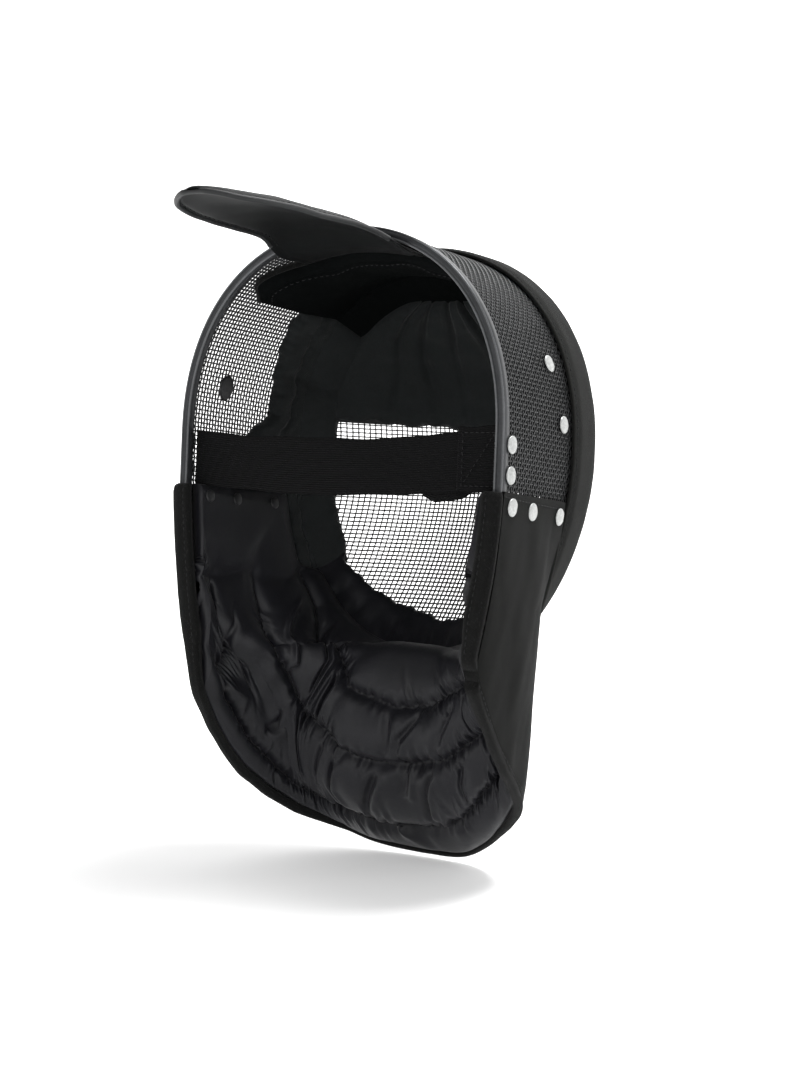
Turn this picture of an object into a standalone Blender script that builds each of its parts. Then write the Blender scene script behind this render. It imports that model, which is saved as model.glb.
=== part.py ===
# Fencing mask with a wire-mesh face, a padded bib and a spring tongue.
# Metres. X to the wearer's left, Y to the rear, Z up; the origin is where the crown of the head seats.
import math

import bmesh
import bpy
import numpy as np
from mathutils import Vector

# Driving sizes
MESH_WALL = 0.002
CLEAR = 0.0003
PAD_GAP = 0.0007
RIM_Y = 0.060
RIM_HALF = 0.1224
RIM_TOP = 0.0185
RIM_SPRING_Z = -0.1113
RIM_SQUARE = 2.2
RIM_WALL = 0.0012
RIM_DEPTH = 0.007
JAW_EASE = 0.0015
JAW_Z = -0.196
JAW_TUCK = 0.0055
CHIN_SWEEP = 0.103
CHIN_Z = -0.267
JOINT_DEPTH = 0.118
JOINT_HALF = 0.121
JOINT_TOP = 0.0165
JOINT_WIDE_Z = -0.116
JOINT_CHIN_Z = -0.269
JOINT_SQUARE_TOP = 2.2
JOINT_SQUARE_CHIN = 1.95
FACE_DEPTH = 0.087
STRIP_WIDTH = 0.028
STRIP_WALL = 0.004
STRIP_LAP = 0.008
CROWN_SEAT_Z = 0.0
CROWN_REAR = 0.025
CROWN_FRONT = 0.093
CROWN_GAP = 0.02
CROWN_LIP_WALL = 0.0065
CHEEK_REAR = 0.0995
CHEEK_REAR_RIGHT = 0.013
PAD_SHARE = 0.825
PAD_WALL = 0.009
TONGUE_LENGTH = 0.175
TONGUE_INSIDE = 0.023
TONGUE_HALF = 0.0565
TONGUE_WALL = 0.0075
TONGUE_CAMBER = 0.0085
TONGUE_RISE = 0.0115
STRAP_TOP_Z = -0.109
STRAP_WIDTH = 0.0365
STRAP_WALL = 0.002
STRAP_SAG = 0.005
STRAP_END_X = 0.096
TAB_WIDTH = 0.030
TAB_DROP = 0.003
BIB_TOP_ANGLE = 12.6
BIB_WALL = 0.0018
BIB_HALF = 0.108
BIB_DEPTH = 0.138
BIB_SQUARE = 2.8
BIB_SIDE_Z = -0.269
BIB_BOTTOM_Z = -0.394
BIB_BULGE = 0.003
BIB_RIGHT_RISE = 0.022
BIB_WAIST = 0.0135
LINING_WALL = 0.009
LINING_TOP_ANGLE = 13.6
LINING_ROOM = 0.0175
JAW_ROOM = 0.0085
EDGE_WALL = 0.0045
EDGE_WIDTH = 0.0145
RIVET_R = 0.0056
RIVET_RISE = 0.0014
BACK_R = 0.0042
SPOT_HALF_WIDTH = 0.007
SPOT_HALF_HEIGHT = 0.00875

LOOP = 48
LEG_SHARE = 0.357
BIB_SIDE_SHARE = 0.4
RIM_SKIN = CLEAR + RIM_WALL
INSIDE = MESH_WALL + RIM_SKIN + PAD_GAP
CENTRE = np.array([0.0, RIM_Y - 0.6 * JOINT_DEPTH, JOINT_WIDE_Z - 0.02])

# Tongue: along is a share of its length, half of its half width, lift of its rise and camber of its camber
TONGUE_SECTIONS = [
    {"along": 0.00, "half": 0.82, "lift": 0.00, "camber": 1.00},
    {"along": 0.07, "half": 0.88, "lift": 0.00, "camber": 1.00},
    {"along": 0.14, "half": 0.88, "lift": 0.00, "camber": 1.00},
    {"along": 0.16, "half": 1.00, "lift": 0.22, "camber": 1.00},
    {"along": 0.21, "half": 0.95, "lift": 0.55, "camber": 0.95},
    {"along": 0.26, "half": 0.80, "lift": 0.85, "camber": 0.85},
    {"along": 0.32, "half": 0.73, "lift": 1.00, "camber": 0.82},
    {"along": 0.50, "half": 0.72, "lift": 1.00, "camber": 0.82},
    {"along": 0.74, "half": 0.71, "lift": 1.02, "camber": 0.78},
    {"along": 0.85, "half": 0.64, "lift": 1.05, "camber": 0.66},
    {"along": 0.93, "half": 0.48, "lift": 1.10, "camber": 0.45},
    {"along": 0.98, "half": 0.27, "lift": 1.14, "camber": 0.25},
    {"along": 1.00, "half": 0.09, "lift": 1.16, "camber": 0.12},
]

# The bib draws in under the strip: fall is the share from its top to its hem, depth the share of BIB_WAIST
WAIST = [
    {"fall": 0.00, "depth": 0.00},
    {"fall": 0.12, "depth": 0.12},
    {"fall": 0.22, "depth": 0.55},
    {"fall": 0.36, "depth": 1.00},
    {"fall": 0.55, "depth": 0.78},
    {"fall": 0.75, "depth": 0.38},
    {"fall": 0.92, "depth": 0.06},
    {"fall": 1.00, "depth": 0.00},
]

# Rear edge of the left cheek pad: turn is the angle round the shell in degrees, rear its distance from the rim
CHEEK_EDGE = [
    {"turn": -12.0, "rear": 0.062},
    {"turn": 1.0, "rear": 0.064},
    {"turn": 8.0, "rear": 0.086},
    {"turn": 25.0, "rear": 0.081},
    {"turn": 41.5, "rear": 0.078},
]

# The hem: ahead is a share of the bib's depth, drop of its fall from the side to the chin
HEM = [
    {"ahead": 0.00, "drop": 0.00},
    {"ahead": 0.02, "drop": 0.11},
    {"ahead": 0.16, "drop": 0.32},
    {"ahead": 0.27, "drop": 0.46},
    {"ahead": 0.39, "drop": 0.585},
    {"ahead": 0.56, "drop": 0.715},
    {"ahead": 0.72, "drop": 0.82},
    {"ahead": 0.83, "drop": 0.87},
    {"ahead": 0.92, "drop": 0.92},
    {"ahead": 1.00, "drop": 1.00},
]

# Rivets on each side: behind is the distance ahead of the rim plane over the joint depth,
# z the height over the bib top; left says whether the left side has it too
RIVETS = [
    {"name": "upper_strip", "behind": 0.593, "z": 0.086, "on": "mesh", "left": False},
    {"name": "lower_strip", "behind": 0.678, "z": 0.048, "on": "mesh", "left": False},
    {"name": "upper_rim", "behind": 0.072, "z": 0.031, "on": "rim", "left": True},
    {"name": "lower_rim", "behind": 0.072, "z": 0.0125, "on": "rim", "left": True},
    {"name": "bib_rear", "behind": 0.078, "z": -0.0065, "on": "bib", "left": True},
    {"name": "bib_middle", "behind": 0.314, "z": -0.0085, "on": "bib", "left": True},
    {"name": "bib_front", "behind": 0.653, "z": -0.0105, "on": "bib", "left": True},
]

COLOURS = {
    "mesh": ((0.02, 0.02, 0.022), 0.45, 0.6),
    "rim": ((0.16, 0.16, 0.17), 0.4, 0.5),
    "strip": ((0.02, 0.02, 0.019), 0.8, 0.0),
    "tongue": ((0.018, 0.019, 0.02), 0.6, 0.0),
    "strap": ((0.012, 0.012, 0.013), 0.9, 0.0),
    "lining": ((0.012, 0.012, 0.015), 0.5, 0.0),
    "pad": ((0.012, 0.012, 0.013), 0.85, 0.0),
    "edge": ((0.015, 0.015, 0.015), 0.95, 0.0),
    "bib": ((0.025, 0.025, 0.026), 0.8, 0.0),
    "rivet": ((0.75, 0.75, 0.72), 0.35, 0.3),
    "rivet_back": ((0.05, 0.05, 0.05), 0.5, 0.3),
}


def material(slot):
    colour, roughness, metallic = COLOURS[slot]
    found = bpy.data.materials.get(slot)
    if found:
        return found
    made = bpy.data.materials.new(slot)
    made.use_nodes = True
    shader = made.node_tree.nodes["Principled BSDF"]
    shader.inputs["Base Color"].default_value = (*colour, 1.0)
    shader.inputs["Roughness"].default_value = roughness
    shader.inputs["Metallic"].default_value = metallic
    return made


def clear_scene():
    for old in list(bpy.data.objects):
        bpy.data.objects.remove(old, do_unlink=True)


def power(value, exponent):
    return np.sign(value) * np.abs(value) ** exponent


def blend(a, b, share):
    return a + (b - a) * np.asarray(share)[..., None]


def unit(vectors):
    return vectors / np.linalg.norm(vectors, axis=-1, keepdims=True)


def grid_of(first, second):
    return np.meshgrid(first, second, indexing="ij")


def loop_angles():
    return np.linspace(0, 2 * math.pi, LOOP, endpoint=False) - math.pi / 2


# How far a point of the loop lies below the level of its centre, from 0 to 1
def drop_of(t):
    return np.arcsin(np.clip(-np.sin(t), 0, 1)) / (math.pi / 2)


# The rim: an arch on two legs at the rear, then a sweep forward under the jaw to the chin
def rim_curve(t):
    c, s = np.cos(t), np.sin(t)
    drop = drop_of(t)
    leg = np.clip(drop / LEG_SHARE, 0, 1)
    turn = np.clip((drop - LEG_SHARE) / (1 - LEG_SHARE), 0, 1) * math.pi / 2
    near = np.clip(np.cos(turn), 0, 1)
    low_half = RIM_HALF - JAW_TUCK * np.clip(leg * 1.7 - 0.7, 0, 1) ** 1.5
    x = np.where(s >= 0, RIM_HALF * power(c, 2 / RIM_SQUARE), np.sign(c) * low_half * near ** 0.9)
    y = RIM_Y - CHIN_SWEEP * np.clip(np.sin(turn), 0, 1) ** 1.5
    high = RIM_SPRING_Z + (RIM_TOP - RIM_SPRING_Z) * np.clip(s, 0, 1) ** (2 / RIM_SQUARE)
    low = RIM_SPRING_Z + (JAW_Z - RIM_SPRING_Z) * leg + (CHIN_Z - JAW_Z) * np.sqrt(1 - near ** 4)
    return np.stack([x, y, np.where(s >= 0, high, low)], -1)


# The joint: where the side band meets the domed face
def joint_curve(t):
    c, s = np.cos(t), np.sin(t)
    top, low = 2 / JOINT_SQUARE_TOP, 2 / JOINT_SQUARE_CHIN
    x = JOINT_HALF * np.where(s >= 0, power(c, top), power(c, low))
    high = (JOINT_TOP - JOINT_WIDE_Z) * power(s, top)
    deep = (JOINT_WIDE_Z - JOINT_CHIN_Z) * power(s, low)
    return np.stack([x, RIM_Y - JOINT_DEPTH + 0 * x, JOINT_WIDE_Z + np.where(s >= 0, high, deep)], -1)


def band(t, v):
    return blend(rim_curve(t), joint_curve(t), v)


def reach(t):
    return np.linalg.norm(joint_curve(t) - rim_curve(t), axis=-1)


# The domed face, by loop angle and share of the way from its middle to the joint
def dome(t, share):
    edge = joint_curve(t)
    middle = np.array([0.0, RIM_Y - JOINT_DEPTH, JOINT_WIDE_Z])
    point = blend(middle, edge, share)
    point[..., 1] = RIM_Y - JOINT_DEPTH - FACE_DEPTH * (1 - np.asarray(share) ** 2)
    return point


# The domed face over a point of the front view
def dome_over(x, z):
    high = z >= JOINT_WIDE_Z
    rise = np.where(high, JOINT_TOP - JOINT_WIDE_Z, JOINT_WIDE_Z - JOINT_CHIN_Z)
    square = np.where(high, JOINT_SQUARE_TOP, JOINT_SQUARE_CHIN)
    sum_of = (np.abs(x) / JOINT_HALF) ** square + (np.abs(z - JOINT_WIDE_Z) / rise) ** square
    share = np.clip(sum_of, 0, 1) ** (1 / square)
    y = RIM_Y - JOINT_DEPTH - FACE_DEPTH * (1 - share ** 2)
    return np.stack([x, y, z], -1)


# One surface for both: q runs 0 to 1 along the band and 1 to 2 over the dome
def skin(t, q):
    on_band = band(t, q)
    on_dome = dome(t, np.clip(2 - np.asarray(q), 0, 1))
    return np.where(np.asarray(q)[..., None] <= 1, on_band, on_dome)


# Unit normals of a grid of points, turned away from the middle of the head
def outward(grid, closed=False):
    if closed:
        along = np.roll(grid, -1, 0) - np.roll(grid, 1, 0)
    else:
        along = np.gradient(grid, axis=0)
    normal = unit(np.cross(along, np.gradient(grid, axis=1)))
    if np.sum(normal * (grid - CENTRE)) < 0:
        normal = -normal
    return normal


def frame_at(surface, t, q, step=0.0005):
    point = surface(t, q)
    around = surface(t + step, q) - surface(t - step, q)
    ahead = surface(t, q + step) - surface(t, q - step)
    normal = unit(np.cross(around, ahead))
    inward = np.sum(normal * (point - CENTRE), -1, keepdims=True) < 0
    return point, np.where(inward, -normal, normal)


def inside_skin(t, q, depth):
    point, normal = frame_at(skin, t, q)
    return point - normal * np.asarray(depth)[..., None]


def mesh_object(name, slot, points, faces):
    mesh = bpy.data.meshes.new(name)
    mesh.from_pydata([tuple(map(float, p)) for p in points], [], faces)
    work = bmesh.new()
    work.from_mesh(mesh)
    bmesh.ops.recalc_face_normals(work, faces=work.faces)
    work.to_mesh(mesh)
    work.free()
    mesh.shade_smooth()
    mesh.set_sharp_from_angle(angle=math.radians(40))
    made = bpy.data.objects.new(name, mesh)
    made.data.materials.append(material(slot))
    bpy.data.collections["fencing_mask"].objects.link(made)
    return made


# An open sheet through a grid of points, made a wall by Solidify on its inner side
def sheet(name, slot, grid, thickness, closed=False):
    rows, columns = grid.shape[:2]
    faces = []
    for i in range(rows if closed else rows - 1):
        k = (i + 1) % rows
        for j in range(columns - 1):
            faces.append([i * columns + j, k * columns + j, k * columns + j + 1, i * columns + j + 1])
    made = mesh_object(name, slot, grid.reshape(-1, 3), faces)
    turn_out(made, outward(grid, closed).reshape(-1, 3))
    solidify = made.modifiers.new("wall", "SOLIDIFY")
    solidify.thickness = thickness
    solidify.offset = -1.0
    return made


def turn_out(made, normals):
    total = 0.0
    for face in made.data.polygons:
        total += Vector(normals[face.vertices[0]]).dot(face.normal)
    if total < 0:
        made.data.flip_normals()


# A closed wall lofted between two unlike grids
def loft(name, slot, inner, outer, closed=False):
    rows, columns = inner.shape[:2]
    shift = rows * columns
    faces = []
    for i in range(rows if closed else rows - 1):
        k = (i + 1) % rows
        for j in range(columns - 1):
            quad = [i * columns + j, k * columns + j, k * columns + j + 1, i * columns + j + 1]
            faces.append(quad)
            faces.append([shift + n for n in reversed(quad)])
        for j in (0, columns - 1):
            near, far = i * columns + j, k * columns + j
            faces.append([near, far, shift + far, shift + near])
    if not closed:
        for i in (0, rows - 1):
            for j in range(columns - 1):
                a = i * columns + j
                faces.append([a, a + 1, shift + a + 1, shift + a])
    return mesh_object(name, slot, np.concatenate([inner.reshape(-1, 3), outer.reshape(-1, 3)]), faces)


def padded(name, slot, outer, thickness, closed=False):
    normal = outward(outer, closed)
    thick = np.broadcast_to(thickness, outer.shape[:2])[..., None]
    return loft(name, slot, outer - normal * thick, outer, closed)


# A section carried along a path; each section point is a pair of distances
def sweep(name, slot, path, across, along, section, closed=True):
    grid = path[:, None] + across[:, None] * section[..., :1] + along[:, None] * section[..., 1:]
    count = grid.shape[1]
    faces = []
    for i in range(len(path) if closed else len(path) - 1):
        k = (i + 1) % len(path)
        for j in range(count):
            m = (j + 1) % count
            faces.append([i * count + j, k * count + j, k * count + m, i * count + m])
    if not closed:
        faces.append(list(range(count)))
        faces.append([(len(path) - 1) * count + j for j in reversed(range(count))])
    return mesh_object(name, slot, grid.reshape(-1, 3), faces)


def side_mesh():
    t = loop_angles()
    end = 1 - 0.0015 / reach(t)
    grid = np.stack([band(t, end * share) for share in (0.0, 0.3, 0.65, 1.0)], 1)
    sheet("side_mesh", "mesh", grid, MESH_WALL, closed=True)


def front_mesh():
    t, share = grid_of(loop_angles(), [0.995, 0.95, 0.88, 0.78, 0.66, 0.51, 0.33, 0.12])
    made = sheet("front_mesh", "mesh", dome(t, share), MESH_WALL, closed=True)
    work = bmesh.new()
    work.from_mesh(made.data)
    middle = RIM_Y - JOINT_DEPTH - 0.9 * FACE_DEPTH
    hub = [edge for edge in work.edges if edge.is_boundary and edge.verts[0].co.y < middle]
    bmesh.ops.contextual_create(work, geom=hub)
    bmesh.ops.recalc_face_normals(work, faces=work.faces)
    work.to_mesh(made.data)
    work.free()
    turn_out(made, outward(dome(t, share), True).reshape(-1, 3))


def rear_rim():
    t = loop_angles()
    path, normal = frame_at(band, t, 0 * t)
    ahead = unit(band(t, 0 * t + 0.1) - path)
    section = []
    for low in np.clip((drop_of(t) - LEG_SHARE) / 0.15, 0, 1):
        gap = CLEAR + JAW_EASE * low
        rise, sink = gap + RIM_WALL, -MESH_WALL - gap
        tip, web = RIM_DEPTH - RIM_SKIN, -gap - 0.5 * JAW_EASE * low
        section.append([
            (rise, web - RIM_WALL), (rise, tip), (gap, tip), (gap, web),
            (sink, web), (sink, tip), (sink - RIM_WALL, tip), (sink - RIM_WALL, web - RIM_WALL)])
    sweep("rear_rim", "rim", path, normal, ahead, np.array(section))


def strip_start(t):
    return 1 - np.minimum(STRIP_WIDTH, reach(t) - RIM_DEPTH - 0.0015) / reach(t)


def cover_strip():
    t = loop_angles()
    start = strip_start(t)
    slope = math.hypot(JOINT_HALF, 2 * FACE_DEPTH)
    rows = [band(t, start + (1 - start) * share) for share in (0.0, 0.5, 1.0)]
    rows += [dome(t, 0 * t + 1 - STRIP_LAP * share / slope) for share in (0.5, 1.0)]
    grid = np.stack(rows, 1)
    normal = outward(grid, True)
    profile = np.array([0.5, 1.0, 1.0, 0.9, 0.45])[None, :, None]
    face = grid + normal * (PAD_GAP + STRIP_WALL * profile)
    loft("cover_strip", "strip", grid + normal * PAD_GAP, face, True)


def tongue():
    top = RIM_TOP - MESH_WALL - RIM_SKIN - CLEAR - 0.0002
    cross = np.sin(np.linspace(-0.5, 0.5, 11) * math.pi)
    inner, outer = [], []
    for row in TONGUE_SECTIONS:
        y = RIM_Y - TONGUE_INSIDE + TONGUE_LENGTH * row["along"]
        middle = top - TONGUE_WALL / 2 + 0.7 * TONGUE_RISE * row["lift"]
        middle = middle - TONGUE_CAMBER * row["camber"] * cross ** 2
        half_wall = TONGUE_WALL / 2 * (0.35 + 0.65 * np.sqrt(1 - cross ** 4))
        x = TONGUE_HALF * row["half"] * cross
        outer.append(np.stack([x, y + 0 * x, middle + half_wall], -1))
        inner.append(np.stack([x, y + 0 * x, middle - half_wall], -1))
    loft("tongue", "tongue", np.array(inner), np.array(outer))


def back_strap():
    left = RIM_HALF - MESH_WALL - RIM_SKIN - CLEAR
    x = np.linspace(-STRAP_END_X, left, 15)
    sag = STRAP_SAG * (1 - ((2 * x - left + STRAP_END_X) / (left + STRAP_END_X)) ** 2)
    y = RIM_Y - RIM_DEPTH - CLEAR - STRAP_WALL
    top = np.stack([x, y + 0 * x, STRAP_TOP_Z - sag], -1)
    low = np.stack([x, y + 0 * x, STRAP_TOP_Z - STRAP_WIDTH - sag], -1)
    made = sheet("back_strap", "strap", np.stack([top, low], 1), STRAP_WALL)
    made.modifiers["wall"].offset = 1.0


def strap_tab():
    wall_x = RIM_HALF - MESH_WALL - RIM_SKIN - CLEAR
    x = -np.linspace(wall_x - TAB_WIDTH, wall_x, 4)
    y = RIM_Y - RIM_DEPTH + STRAP_WALL + CLEAR
    top = np.stack([x, y + 0 * x, STRAP_TOP_Z + TAB_DROP + 0 * x], -1)
    low = np.stack([x, y + 0 * x, STRAP_TOP_Z - STRAP_WIDTH - 0.3 * TAB_DROP + 0 * x], -1)
    made = sheet("strap_tab", "strap", np.stack([top, low], 1), STRAP_WALL)
    made.modifiers["wall"].offset = 1.0


def crown_pad():
    spread = math.radians(47)
    t, u = grid_of(np.linspace(-spread, spread, 19), np.linspace(0, 1, 7))
    turn = t / spread
    rear, front = CROWN_REAR / JOINT_DEPTH, CROWN_FRONT / JOINT_DEPTH
    lip = (2 - PAD_SHARE - CROWN_GAP - front) * np.array([0.5, 0.76, 1.0])
    q = np.concatenate([rear + (front - rear) * u, front + lip + 0 * t[:, :3]], 1)
    outer = inside_skin(math.pi / 2 + t[:, :1] + 0 * q, q, MESH_WALL + PAD_GAP + 0 * q)
    middle = outer[9, 3, 2] - CROWN_SEAT_Z
    wall = middle + (PAD_WALL - middle) * turn ** 2
    edge = np.sqrt(1 - 0.75 * np.abs(turn) ** 8) * np.sqrt(1 - 0.6 * (1 - u) ** 6)
    thick = wall * edge
    thick[:, 6] = 0.5 * (thick[:, 5] + CROWN_LIP_WALL)
    lip_wall = CROWN_LIP_WALL * edge[:, :1] * np.array([1.0, 1.0, 0.6])
    padded("crown_pad", "pad", outer, np.concatenate([thick, lip_wall], 1))


def forehead_pad():
    w, u = grid_of(np.linspace(0, 1, 8), np.linspace(-1, 1, 15))
    rise = JOINT_TOP - JOINT_WIDE_Z
    z = JOINT_WIDE_Z + rise * (0.175 + (0.79 - 0.175) * w)
    high = np.abs(z - JOINT_WIDE_Z) / rise
    half = PAD_SHARE ** JOINT_SQUARE_TOP - high ** JOINT_SQUARE_TOP
    half = JOINT_HALF * half ** (1 / JOINT_SQUARE_TOP)
    grid = dome_over(half * u, z)
    normal = outward(grid)
    outer = grid - normal * (MESH_WALL + 2 * PAD_GAP)
    edge = np.sqrt(1 - 0.7 * u ** 6) * np.sqrt(1 - 0.7 * (2 * w - 1) ** 6)
    padded("forehead_pad", "pad", outer, 1.2 * PAD_WALL * edge)


def cheek_pads():
    turns = [-29.5, -23.5, -18, 0.6 - LINING_TOP_ANGLE, 3 - LINING_TOP_ANGLE, -5, 1, 8, 16, 24, 33, 41.5]
    t, u = grid_of(np.radians(turns), np.linspace(0, 1, 6))
    low = np.clip((math.radians(-13) - t) / math.radians(16.5), 0, 1)
    front = 1.16 - 0.055 * low
    ends = np.abs(np.linspace(-1, 1, 12))[:, None]
    edge = np.sqrt(1 - 0.7 * (2 * u - 1) ** 6) * np.sqrt(1 - 0.7 * ends ** 8)
    for side, name in ((1, "cheek_pad_left"), (-1, "cheek_pad_right")):
        # The right pad also lines the wall behind it, down to the top of the lining
        above = np.degrees(t) > 1 - LINING_TOP_ANGLE
        turned, behind = [row["turn"] for row in CHEEK_EDGE], [row["rear"] for row in CHEEK_EDGE]
        edge_left = np.interp(np.degrees(t), turned, behind)
        rear = np.where(above, edge_left if side > 0 else CHEEK_REAR_RIGHT, CHEEK_REAR) / JOINT_DEPTH
        grid = inside_skin(t, rear + (front - rear) * u, MESH_WALL + PAD_GAP + 0 * t)
        padded(name, "pad", grid * np.array([side, 1, 1]), 0.85 * PAD_WALL * edge)


def lining_front(a):
    return np.interp(a, [0.0, 0.4, 0.5, 0.6, 1.0], [0.005, 0.83, 0.83, 1.0, 1.075])


def lining_angle(a):
    angles = [LINING_TOP_ANGLE, LINING_TOP_ANGLE, 34.0, 37.5, 90.0]
    return -np.radians(np.interp(a, [0.0, 0.4, 0.5, 0.6, 1.0], angles))


def chin_pad():
    u, w = grid_of(np.linspace(-1, 1, 17), np.linspace(0, 1, 5))
    t = np.radians(39.5 + 50.5 * (1 - np.abs(u)))
    window = np.interp(np.degrees(t), [36, 45, 66, 90], [0.92, 0.88, 0.8045, 0.791])
    shares = np.linspace(0.6, 1, 30)
    meet = 2 - np.interp(t, -lining_angle(shares), lining_front(shares)) - 0.012
    angle = np.where(u <= 0, -math.pi + t, -t)
    outer = inside_skin(angle, 2 - (window + (meet - window) * w), MESH_WALL + PAD_GAP + 0 * t)
    edge = np.sqrt(1 - 0.6 * (2 * w - 1) ** 6) * np.sqrt(1 - 0.7 * u ** 8)
    padded("chin_pad", "lining", outer, 0.75 * PAD_WALL * edge)


# Bib stations: a runs from a free rear edge, 0, to the middle of the chin, 1; w from its top to its hem
def bib_top(a):
    chin = np.clip((a - BIB_SIDE_SHARE) / (1 - BIB_SIDE_SHARE), 0, 1)
    start = math.radians(BIB_TOP_ANGLE)
    t = -(start + (math.pi / 2 - start) * chin)
    front = strip_start(t) - (0.0045 + 0.0015 * chin ** 2) / reach(t)
    rear = -(RIM_SKIN + 2 * CLEAR) / JOINT_DEPTH
    v = rear + (front - rear) * np.clip(a / BIB_SIDE_SHARE, 0, 1)
    point, normal = frame_at(band, t, v)
    off = RIM_SKIN + CLEAR + 0.0001 + (JAW_EASE + 0.0018) * np.clip(3 * chin, 0, 1)
    return point + normal * off[..., None]


def hem_turn(a):
    return math.pi / 2 * a ** 1.1


# The cloth hangs higher on the right: side is 1 on the left half and -1 on the right
def bib_hem(a, side=1):
    turn = hem_turn(a)
    ahead = np.clip(np.sin(turn), 0, 1) ** (2 / BIB_SQUARE)
    x = (BIB_HALF - BIB_WALL) * np.clip(np.cos(turn), 0, 1) ** (2 / BIB_SQUARE)
    drop = np.interp(ahead, [row["ahead"] for row in HEM], [row["drop"] for row in HEM])
    z = BIB_SIDE_Z + (BIB_BOTTOM_Z - BIB_SIDE_Z) * drop
    hem = np.stack([x, RIM_Y + RIM_SKIN + CLEAR - BIB_DEPTH * ahead, z], -1)
    if side < 0:
        share = np.clip((x - 0.2 * BIB_HALF) / (0.7 * BIB_HALF), 0, 1)
        top = bib_top(a)
        hem = blend(hem, top, BIB_RIGHT_RISE * share ** 2 * (3 - 2 * share) / (top[..., 2] - z))
    return hem


def bib_surface(a, w, side=1):
    turn = hem_turn(a)
    out = np.stack([np.cos(turn), -np.sin(turn), 0 * turn], -1)
    front = np.clip((a - 0.25) / 0.25, 0, 1)
    waist = np.interp(w, [row["fall"] for row in WAIST], [row["depth"] for row in WAIST])
    off = BIB_BULGE * np.sin(math.pi * w) - BIB_WAIST * waist * front ** 2 * (3 - 2 * front)
    return blend(bib_top(a), bib_hem(a, side), w) + out * off[..., None]


def mirror_half(left, right=None):
    other = (left if right is None else right)[-2::-1] * np.array([-1.0, 1.0, 1.0])
    return np.concatenate([left, other])


def stations(count):
    return np.linspace(0, 1, count) ** 1.1


def bib():
    a, w = grid_of(stations(15), np.linspace(0, 1, 8))
    grid = mirror_half(bib_surface(a, w), bib_surface(a, w, -1))
    made = sheet("bib", "bib", grid, BIB_WALL)
    made.modifiers["wall"].offset = 1.0


def jaw_angle(a):
    return -math.pi / 2 * (LEG_SHARE + (1 - LEG_SHARE) * a ** 0.9)


# The lining follows the inside of the wall down to the rim, then hangs within the bib
def lining_outer(a, upper, lower, side=1):
    past_rim = JAW_ROOM * np.clip((a - 0.02) / 0.3, 0, 1) ** 0.7 / reach(jaw_angle(a))
    top_q, rim_q = lining_front(a), lining_front(0.0) - past_rim
    share = upper[None]
    t = lining_angle(a)[:, None] + (jaw_angle(a) - lining_angle(a))[:, None] * share
    q = top_q[:, None] + (rim_q - top_q)[:, None] * share
    wall = inside_skin(t, q, INSIDE + 1.6 * JAW_EASE + 0 * t)
    edge = wall[:, -1]
    inner_room = LINING_ROOM * (0.35 + 0.65 * a)
    turn = hem_turn(a)
    out = np.stack([np.cos(turn), -np.sin(turn), 0 * turn], -1)
    hem = bib_surface(a, 0 * a + 0.945, side) - out * 0.002
    top_z = bib_top(a)[:, 2]
    level = (top_z - (edge[:, 2] + hem[:, 2]) / 2) / (top_z - bib_hem(a, side)[:, 2])
    middle = bib_surface(a, level, side) - out * inner_room[:, None]
    w = lower[None, :, None]
    hang = edge[:, None] * (1 - w) * (1 - 2 * w) + middle[:, None] * 4 * w * (1 - w)
    hang = hang + hem[:, None] * w * (2 * w - 1)
    return np.concatenate([wall, hang], 1)


def bib_lining():
    upper, lower = np.linspace(0, 1, 9), np.linspace(0, 1, 8)[1:]
    shares = 0.006 + 0.994 * stations(15)
    outer = mirror_half(lining_outer(shares, upper, lower), lining_outer(shares, upper, lower, -1))
    wall = np.array([0.7, 1, 1, 1, 1, 1, 0.95, 0.85, 0.75, 0.85, 1, 1, 1, 0.95, 0.7, 0.25])
    inner = outer - outward(outer) * (LINING_WALL * wall)[None, :, None]
    for grid in (inner, outer):
        grid[..., 1] = np.minimum(grid[..., 1], RIM_Y + RIM_SKIN)
    loft("bib_lining", "lining", inner, outer)


# The padded edge that closes the bib and its lining, along both free edges and the hem
def bib_edge():
    steps = np.linspace(0.012, 1, 9)
    shares = stations(15)[1:]
    paths, inners = [], []
    for side in (1, -1):
        ends = [bib_surface(0 * steps, steps, side), bib_surface(shares, 0 * shares + 1, side)]
        inside = [bib_surface(0 * steps + 0.02, steps, side), bib_surface(shares, 0 * shares + 0.97, side)]
        paths.append(np.concatenate(ends))
        inners.append(np.concatenate(inside))
    path, inner = mirror_half(*paths), mirror_half(*inners)
    turn = hem_turn(np.concatenate([0 * steps, shares]))
    across = mirror_half(np.stack([np.cos(turn), -np.sin(turn), 0 * turn], -1))
    tangent = unit(np.gradient(path, axis=0))
    across = unit(across - tangent * np.sum(across * tangent, -1, keepdims=True))
    away = unit(np.cross(tangent, across))
    away = np.where(np.sum(away * (inner - path), -1, keepdims=True) > 0, -away, away)
    count = len(path)
    index = np.arange(count)
    index = np.minimum(index, count - 1 - index)
    thin = np.clip((index - len(steps) + 3) / 3, 0, 1)
    wall = EDGE_WALL * (1 - 0.4 * thin)
    width = EDGE_WIDTH * (1 - 0.5 * thin)
    gap = 3 * CLEAR
    out = BIB_WALL + CLEAR
    section = []
    for k in range(count):
        low = out - width[k]
        deep = wall[k]
        soft = min(0.3 * deep, 0.0015)
        section.append([
            (out, gap), (low, gap), (low - soft, gap + 0.4 * deep), (low, gap + 0.8 * deep),
            (0.5 * (low + out), gap + deep), (out, gap + 0.8 * deep), (out + soft, gap + 0.4 * deep)])
    sweep("bib_edge", "edge", path, across, away, np.array(section), closed=False)


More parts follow.
